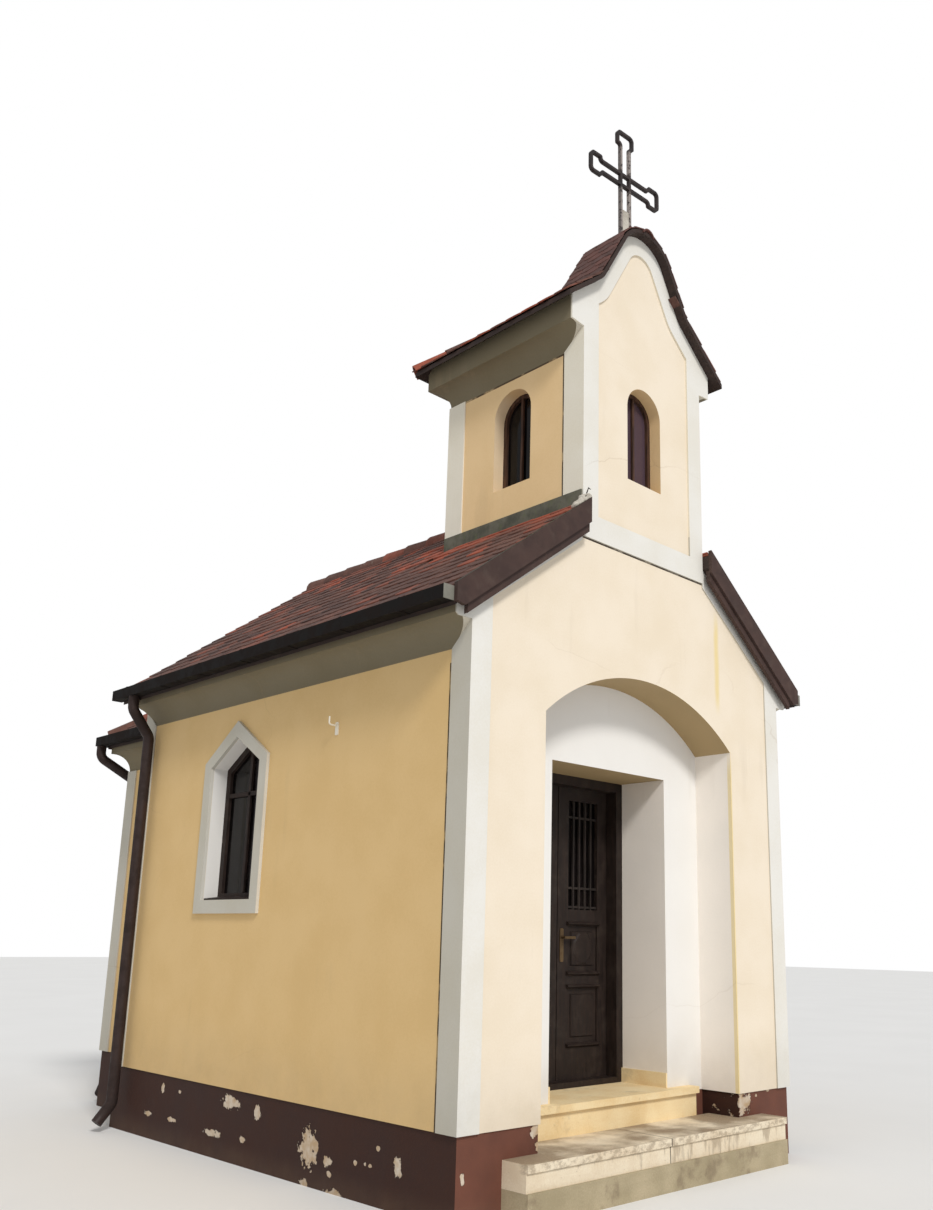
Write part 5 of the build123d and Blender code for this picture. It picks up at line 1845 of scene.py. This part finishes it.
    def build(self, finishes: Finishes) -> None:
        """Lay the slopes, the crown and the caps.

        Args:
            finishes: The chapel's materials.
        """
        bed = TileBed(self.tile, self.seed)
        crown_bed = TileBed(self.crown_tile, self.crown_seed)
        corner_height = self.ridge - self.fall * self.reach + 0.032
        for side in SIDES:
            self.side_slope(bed, side)
            self.crown(crown_bed, side)
            corner = Vector((side * (self.reach + 0.012), self.back + 0.012, corner_height))
            top = self.hip_top + Vector((0.0, 0.03, 0.010))
            lay_caps(
                bed, CapShape(wide=0.080, narrow=0.070), corner, top, 0.055, 0.30, first=Tone.FRESH.value
            )
        self.rear_slope(bed)
        ridge = Vector((0.0, 0.0, self.ridge + 0.050))
        back = ridge + Vector((0.0, self.hip_top.y + 0.05, 0.0))
        lay_caps(
            bed,
            CapShape(wide=0.086, narrow=0.078),
            back,
            ridge + Vector((0.0, self.crown_back, 0.0)),
            0.080,
            0.22,
        )
        crest = Vector((self.crown_x, 0.0, self.crown_centre + self.crown_radius + 0.030))
        start = crest + Vector((0.0, self.crown_back, 0.0))
        end = crest + Vector((0.0, self.front + 0.002, 0.0))
        lay_caps(
            crown_bed, CapShape(wide=0.080, narrow=0.074, sweep=math.radians(140)), start, end, 0.076, 0.15
        )
        bed.finish("belfry_tiles", finishes.tile)
        crown_bed.finish("crown_tiles", finishes.crown_tile)


@dataclass
class Walls:
    """Finishes of the masonry, the raised plaster and the ground-level stone."""

    ochre: tuple[str, ...] = (
        "left_wall",
        "right_wall",
        "front_pier_left",
        "front_pier_right",
        "facade_gable",
        "rear_wall",
        "apse_walls",
        "belfry_front_wall",
        "belfry_side_walls",
        "belfry_rear_wall",
        "door_head_wall",
    )
    white: tuple[str, ...] = (
        "corner_pilasters",
        "raking_bands",
        "window_surrounds",
        "belfry_front_frame",
        "belfry_pilasters",
        "nave_ceiling",
    )
    soffit: tuple[str, ...] = ("eaves_cornices", "belfry_cornices")
    plinth: tuple[str, ...] = ("front_plinths", "side_plinths", "apse_plinth")
    sand: tuple[str, ...] = ("door_step", "nave_floor", "reveal_skirtings")

    def build(self, nodes: dict[str, bpy.types.Object], finishes: Finishes) -> None:
        """Give every masonry node its finish.

        Args:
            nodes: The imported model's nodes.
            finishes: The chapel's materials.
        """
        for names, material in (
            (self.ochre, finishes.ochre),
            (self.white, finishes.white),
            (self.soffit, finishes.soffit),
            (self.plinth, finishes.plinth),
            (self.sand, finishes.sand),
            (("step_footing",), finishes.concrete),
            (("lower_step",), finishes.step),
        ):
            for name in names:
                dress(nodes[name], material)


def dress(node: bpy.types.Object, material: bpy.types.Material) -> None:
    """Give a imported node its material."""
    node.data.materials.clear()
    node.data.materials.append(material)


@dataclass
class Woodwork:
    """Finishes of boards, door and windows, and the bars of the windows."""

    mullion: float = 0.034
    bar_depth: float = 0.022
    bar_edge: float = 0.004
    transom_half: float = 0.295
    belfry_bar: float = 0.022
    belfry_bar_depth: float = 0.020
    belfry_bar_edge: float = 0.003
    belfry_centre: float = 0.725
    belfry_low: float = PAVING + 4.72
    belfry_high: float = PAVING + 5.44
    window_centre: float = 2.640
    reveal: float = 0.120
    belfry_reveal: float = 0.102
    belfry_wall: float = 0.692
    sill: float = PAVING + 1.668
    top: float = PAVING + 2.775
    transom: float = PAVING + 2.420
    leaf_face: float = 0.850
    ledge_out: float = 0.022
    ledge_near: float = 0.102
    ledge_far: float = 0.457
    ledge_foot: float = 0.771
    ledge_tall: float = 0.034
    field_size: tuple[float, float] = (0.200, 0.232)
    field_height: float = 1.4725
    field_rise: float = 0.008
    field_top: float = 0.88

    def build(self, nodes: dict[str, bpy.types.Object], finishes: Finishes) -> None:
        """Dress the woodwork and add the window bars.

        Args:
            nodes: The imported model's nodes.
            finishes: The chapel's materials.
        """
        dress(nodes["bargeboards"], finishes.board)
        dress(nodes["door_frame"], finishes.door)
        dress(nodes["window_frames"], finishes.sash)
        dress(nodes["window_glass"], finishes.glass)
        for side in ("left", "right"):
            dress(nodes[f"door_leaf_{side}"], finishes.door)
            dress(nodes[f"door_grille_{side}"], finishes.iron)
            dress(nodes[f"door_pane_{side}"], finishes.glass)
        dress(nodes["door_handles"], finishes.brass)
        self.bars(finishes)
        self.foot_ledge(-1, LEFT_DOOR, finishes)
        self.foot_ledge(1, RIGHT_DOOR, finishes)

    def raised_field(self, bm: bmesh.types.BMesh, across: float) -> None:
        """Add the eight-sided raised field of a leaf's middle panel.

        Args:
            bm: The shape being made.
            across: The panel's centre.
        """
        wide, tall = self.field_size
        ring = bmesh.ops.create_circle(
            bm,
            cap_ends=True,
            segments=8,
            radius=0.5 / math.cos(math.pi / 8),
            matrix=Matrix.Rotation(math.pi / 2, 4, "X") @ Matrix.Rotation(math.pi / 8, 4, "Z"),
        )["verts"]
        bmesh.ops.scale(bm, vec=(wide, 1.0, tall), verts=ring)
        bmesh.ops.translate(bm, vec=(across, self.leaf_face, self.field_height), verts=ring)
        face = next(face for face in ring[0].link_faces)
        made = bmesh.ops.extrude_face_region(bm, geom=[face])
        top = top_of(made)
        centre = Matrix.Translation((-across, 0.0, -self.field_height))
        bmesh.ops.scale(bm, vec=(self.field_top, 1.0, self.field_top), space=centre, verts=top)
        bmesh.ops.translate(bm, vec=(0.0, -self.field_rise, 0.0), verts=top)
        bmesh.ops.recalc_face_normals(bm, faces=bm.faces)

    def foot_ledge(self, side: int, body: str, finishes: Finishes) -> None:
        """Add the moulded ledge at the foot of a leaf's lower panel.

        Args:
            side: -1 for the left leaf, 1 for the right.
            body: The leaf's body.
            finishes: The chapel's materials.
        """
        bm = bmesh.new()
        low = (self.ledge_near, self.leaf_face - self.ledge_out, self.ledge_foot)
        high = (self.ledge_far, self.leaf_face, self.ledge_foot + self.ledge_tall)
        verts = add_on_side(bm, side, low, high)
        nose = [vert for vert in verts if vert.co.y < self.leaf_face - 0.001]
        middle = self.ledge_foot + self.ledge_tall / 2
        bmesh.ops.scale(bm, vec=(1.0, 1.0, 0.2), space=Matrix.Translation((0.0, 0.0, -middle)), verts=nose)
        self.raised_field(bm, side * (self.ledge_near + self.ledge_far) / 2)
        name = "door_mouldings_left" if side < 0 else "door_mouldings_right"
        keep(bm, name, finishes.door, body)

    def bars(self, finishes: Finishes) -> None:
        """Add the mullions and transoms of the windows.

        Args:
            finishes: The chapel's materials.
        """
        bm = bmesh.new()
        half = self.mullion / 2
        face = WALL_HALF - self.reveal
        back = face - self.bar_depth
        for side in SIDES:
            for across, low, high in (
                (half, self.sill, self.top),
                (self.transom_half, self.transom - half, self.transom + half),
            ):
                near, far = self.window_centre - across, self.window_centre + across
                add_on_side(bm, side, (back, near, low), (face, far, high), self.bar_edge)
        half = self.belfry_bar / 2
        low, high = self.belfry_low, self.belfry_high
        face = self.belfry_wall - self.belfry_reveal
        back = face - self.belfry_bar_depth
        near, far = self.belfry_centre - half, self.belfry_centre + half
        for side in SIDES:
            add_on_side(bm, side, (back, near, low), (face, far, high), self.belfry_bar_edge)
        near, far = self.belfry_reveal, self.belfry_reveal + self.belfry_bar_depth
        add_block(bm, (-half, near, low), (half, far, high), self.belfry_bar_edge)
        keep(bm, "window_bars", finishes.sash)


@dataclass
class Metalwork:
    """Finishes of gutters, pipes, flashing, cross and hook, with brackets and clips."""

    bracket_pitch: float = 0.62
    gutter_base: float = PAVING + 3.3223
    gutter_in: float = 1.895
    gutter_out: float = 1.985
    gutter_depth: float = 0.085
    gutter_front: float = -0.065
    strap: float = 0.022
    strap_lap: float = 0.012
    clip: float = 0.016
    first_strap: float = 0.35
    last_strap: float = 4.2
    strap_edge: float = 0.0008
    gauge: float = 0.004
    plate_edge: float = 0.002

    def build(self, nodes: dict[str, bpy.types.Object], finishes: Finishes) -> None:
        """Dress the metalwork and add its brackets.

        Args:
            nodes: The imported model's nodes.
            finishes: The chapel's materials.
        """
        dress(nodes["gutters"], finishes.gutter)
        dress(nodes["downspouts"], finishes.downpipe)
        dress(nodes["belfry_flashing"], finishes.flashing)
        dress(nodes["cross"], finishes.cross)
        dress(nodes["cross_post"], finishes.mortar)
        dress(nodes["wall_hook"], finishes.hook)
        self.brackets(finishes)
        self.end_caps(finishes)

    def brackets(self, finishes: Finishes) -> None:
        """Add the straps that carry the nave's gutters.

        Args:
            finishes: The chapel's materials.
        """
        bm = bmesh.new()
        under = self.gutter_base - self.gauge
        top = self.gutter_base + self.gutter_depth
        for side in SIDES:
            y = self.first_strap
            while y < self.last_strap:
                for inner, low, high in (
                    (self.gutter_in - self.strap_lap, under, self.gutter_base),
                    (self.gutter_out - self.clip, top, top + self.gauge),
                ):
                    outer_corner = (self.gutter_out, y + self.strap, high)
                    add_on_side(bm, side, (inner, y, low), outer_corner, self.strap_edge)
                y += self.bracket_pitch
        keep(bm, "gutter_straps", finishes.gutter)

    def end_caps(self, finishes: Finishes) -> None:
        """Add the grey plates on the nave gutters' front ends.

        Args:
            finishes: The chapel's materials.
        """
        bm = bmesh.new()
        low = (self.gutter_in - 0.004, self.gutter_front - 0.004, self.gutter_base - 0.004)
        high = (self.gutter_out, self.gutter_front + 0.002, self.gutter_base + self.gutter_depth + 0.003)
        for side in SIDES:
            add_on_side(bm, side, low, high, self.plate_edge)
        keep(bm, "gutter_end_plates", finishes.cap)


@dataclass
class Mortarwork:
    """The lump of mortar at the belfry's front left foot, with the wire that sticks out of it."""

    foot: Point = (-0.722, -0.048, 0.0)
    lumps: int = 6
    seed: int = 7
    wire_radius: float = 0.004
    wire_turn: float = 28.0
    wire_bends: tuple[Point, ...] = ((0.02, 0.0, 0.05), (0.012, 0.002, 0.025), (0.024, 0.004, -0.004))

    def build(self, finishes: Finishes) -> None:
        """Add the mortar and the wire.

        Args:
            finishes: The chapel's materials.
        """
        chance = random.Random(self.seed)
        bm = bmesh.new()
        for index in range(self.lumps):
            x = self.foot[0] - 0.021 * index
            z = BOARD_RIDGE - ROOF_FALL * abs(x) + 0.056 - 0.003 * index
            made = bmesh.ops.create_icosphere(bm, subdivisions=3, radius=0.034 - 0.003 * index)
            bmesh.ops.scale(bm, vec=(1.2, 1.3, 0.9), verts=made["verts"])
            shift = chance.uniform(-0.008, 0.008)
            bmesh.ops.translate(bm, vec=(x, self.foot[1] + shift, z), verts=made["verts"])
        wear_edges(bm, 0.014, 32.0, 3.0)
        keep(bm, "foot_mortar", finishes.mortar, smooth=True)
        self.wire(finishes)

    def wire(self, finishes: Finishes) -> None:
        """Bend the bit of wire.

        Args:
            finishes: The chapel's materials.
        """
        bm = bmesh.new()
        low = Vector(
            (self.foot[0] - 0.030, self.foot[1] - 0.034, BOARD_RIDGE + ROOF_FALL * self.foot[0] + 0.050)
        )
        ring = bmesh.ops.create_circle(bm, cap_ends=True, segments=8, radius=self.wire_radius)["verts"]
        bmesh.ops.translate(bm, vec=low, verts=ring)
        for step, way in enumerate(self.wire_bends):
            end = [face for face in bm.faces if all(vert in ring for vert in face.verts)]
            made = bmesh.ops.extrude_face_region(bm, geom=end)
            ring = top_of(made)
            bmesh.ops.translate(bm, vec=way, verts=ring)
            middle = sum((vert.co for vert in ring), Vector()) / len(ring)
            turn = Matrix.Rotation(math.radians(self.wire_turn * (step + 1)), 3, "Y")
            bmesh.ops.rotate(bm, cent=middle, matrix=turn, verts=ring)
        bmesh.ops.recalc_face_normals(bm, faces=bm.faces)
        keep(bm, "foot_wire", finishes.iron, smooth=True)


@dataclass
class Studio:
    """Floor, lights, world and camera."""

    floor_half: float = 60.0
    sun_from: Point = (-0.30, -0.72, 0.66)
    sun_level: float = 1.9
    sun_angle: float = 12.0
    sky_level: float = 0.55
    eye: Point = (-5.8884, -4.6788, 1.3729 + PAVING)
    yaw: float = 0.784044
    pitch: float = 0.235808
    roll: float = 0.018443
    focal: float = 1071.10
    centre: tuple[float, float] = (525.54, 681.02)
    frame: tuple[int, int] = (933, 1210)

    def floor(self) -> None:
        """Lay the pale floor."""
        bm = bmesh.new()
        bmesh.ops.create_grid(bm, x_segments=1, y_segments=1, size=self.floor_half)
        mesh = bpy.data.meshes.new("floor")
        bm.to_mesh(mesh)
        bm.free()
        material, graph, shader = start_material("floor_paint", 0.9)
        place = graph.place()
        tone = graph.noise(place, 0.6, 3.0)
        graph.feed(shader.inputs["Base Color"], graph.mix(tone, (0.80, 0.80, 0.79), (0.86, 0.86, 0.85)))
        mesh.materials.append(material)
        floor = bpy.data.objects.new("floor", mesh)
        bpy.context.scene.collection.objects.link(floor)

    def world(self) -> None:
        """Make the pale sky that lights from all round."""
        world = bpy.data.worlds.new("pale_sky")
        world.use_nodes = True
        tree = world.node_tree
        tree.nodes.clear()
        graph = Graph(tree)
        light = graph.add("ShaderNodeBackground", {}, Color=(0.97, 0.98, 1.0), Strength=self.sky_level)
        seen = graph.add("ShaderNodeBackground", {}, Color=(1.0, 1.0, 1.0), Strength=1.0)
        path = graph.add("ShaderNodeLightPath")
        direct = graph.math("MAXIMUM", path.outputs["Is Camera Ray"], path.outputs["Is Transmission Ray"])
        blend = graph.add("ShaderNodeMixShader")
        graph.feed(blend.inputs[0], direct)
        graph.feed(blend.inputs[1], light.outputs[0])
        graph.feed(blend.inputs[2], seen.outputs[0])
        output = graph.add("ShaderNodeOutputWorld")
        tree.links.new(blend.outputs[0], output.inputs["Surface"])
        bpy.context.scene.world = world

    def lights(self) -> None:
        """Hang the soft key light."""
        data = bpy.data.lights.new("soft_key", "SUN")
        data.energy = self.sun_level
        data.angle = math.radians(self.sun_angle)
        data.color = (1.0, 0.975, 0.94)
        lamp = bpy.data.objects.new("soft_key", data)
        lamp.rotation_euler = Vector(self.sun_from).to_track_quat("Z", "Y").to_euler()
        lamp.location = Vector(self.sun_from) * 20
        bpy.context.scene.collection.objects.link(lamp)

    def camera(self) -> None:
        """Set up the camera at the photograph's place."""
        cos_pitch = math.cos(self.pitch)
        ahead = Vector(
            (math.sin(self.yaw) * cos_pitch, math.cos(self.yaw) * cos_pitch, math.sin(self.pitch))
        )
        right = Vector((math.cos(self.yaw), -math.sin(self.yaw), 0.0))
        up = right.cross(ahead)
        turned_right = right * math.cos(self.roll) + up * math.sin(self.roll)
        turned_up = up * math.cos(self.roll) - right * math.sin(self.roll)
        wide, high = self.frame
        data = bpy.data.cameras.new("viewpoint")
        data.sensor_fit = "VERTICAL"
        data.sensor_height = 36.0
        data.lens = self.focal / high * 36.0
        data.shift_x = (wide / 2 - self.centre[0]) / high
        data.shift_y = (self.centre[1] - high / 2) / high
        data.clip_end = 300.0
        viewpoint = bpy.data.objects.new("viewpoint", data)
        turn = Matrix((turned_right, turned_up, -ahead)).transposed().to_4x4()
        viewpoint.matrix_world = Matrix.Translation(self.eye) @ turn
        bpy.context.scene.collection.objects.link(viewpoint)
        bpy.context.scene.camera = viewpoint

    def build(self) -> None:
        """Set up the whole studio."""
        self.floor()
        self.world()
        self.lights()
        self.camera()
        bpy.context.scene.view_settings.view_transform = "Standard"


def main() -> None:
    """Build the chapel's scene, sub-assembly by sub-assembly."""
    logging.basicConfig(level=logging.INFO, format="%(name)s: %(message)s")
    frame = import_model()
    nodes = frame["nodes"]
    Studio().build()
    finishes = Finishes()
    Walls().build(nodes, finishes)
    for name in ("left_roof", "right_roof", "apse_roof", "belfry_roof"):
        dress(nodes[name], finishes.boarding)
    NaveRoof().build(finishes)
    RearRoof().build(finishes)
    BelfryRoof().build(finishes)
    Woodwork().build(nodes, finishes)
    Metalwork().build(nodes, finishes)
    Mortarwork().build(finishes)


if __name__ == "__main__":
    main()
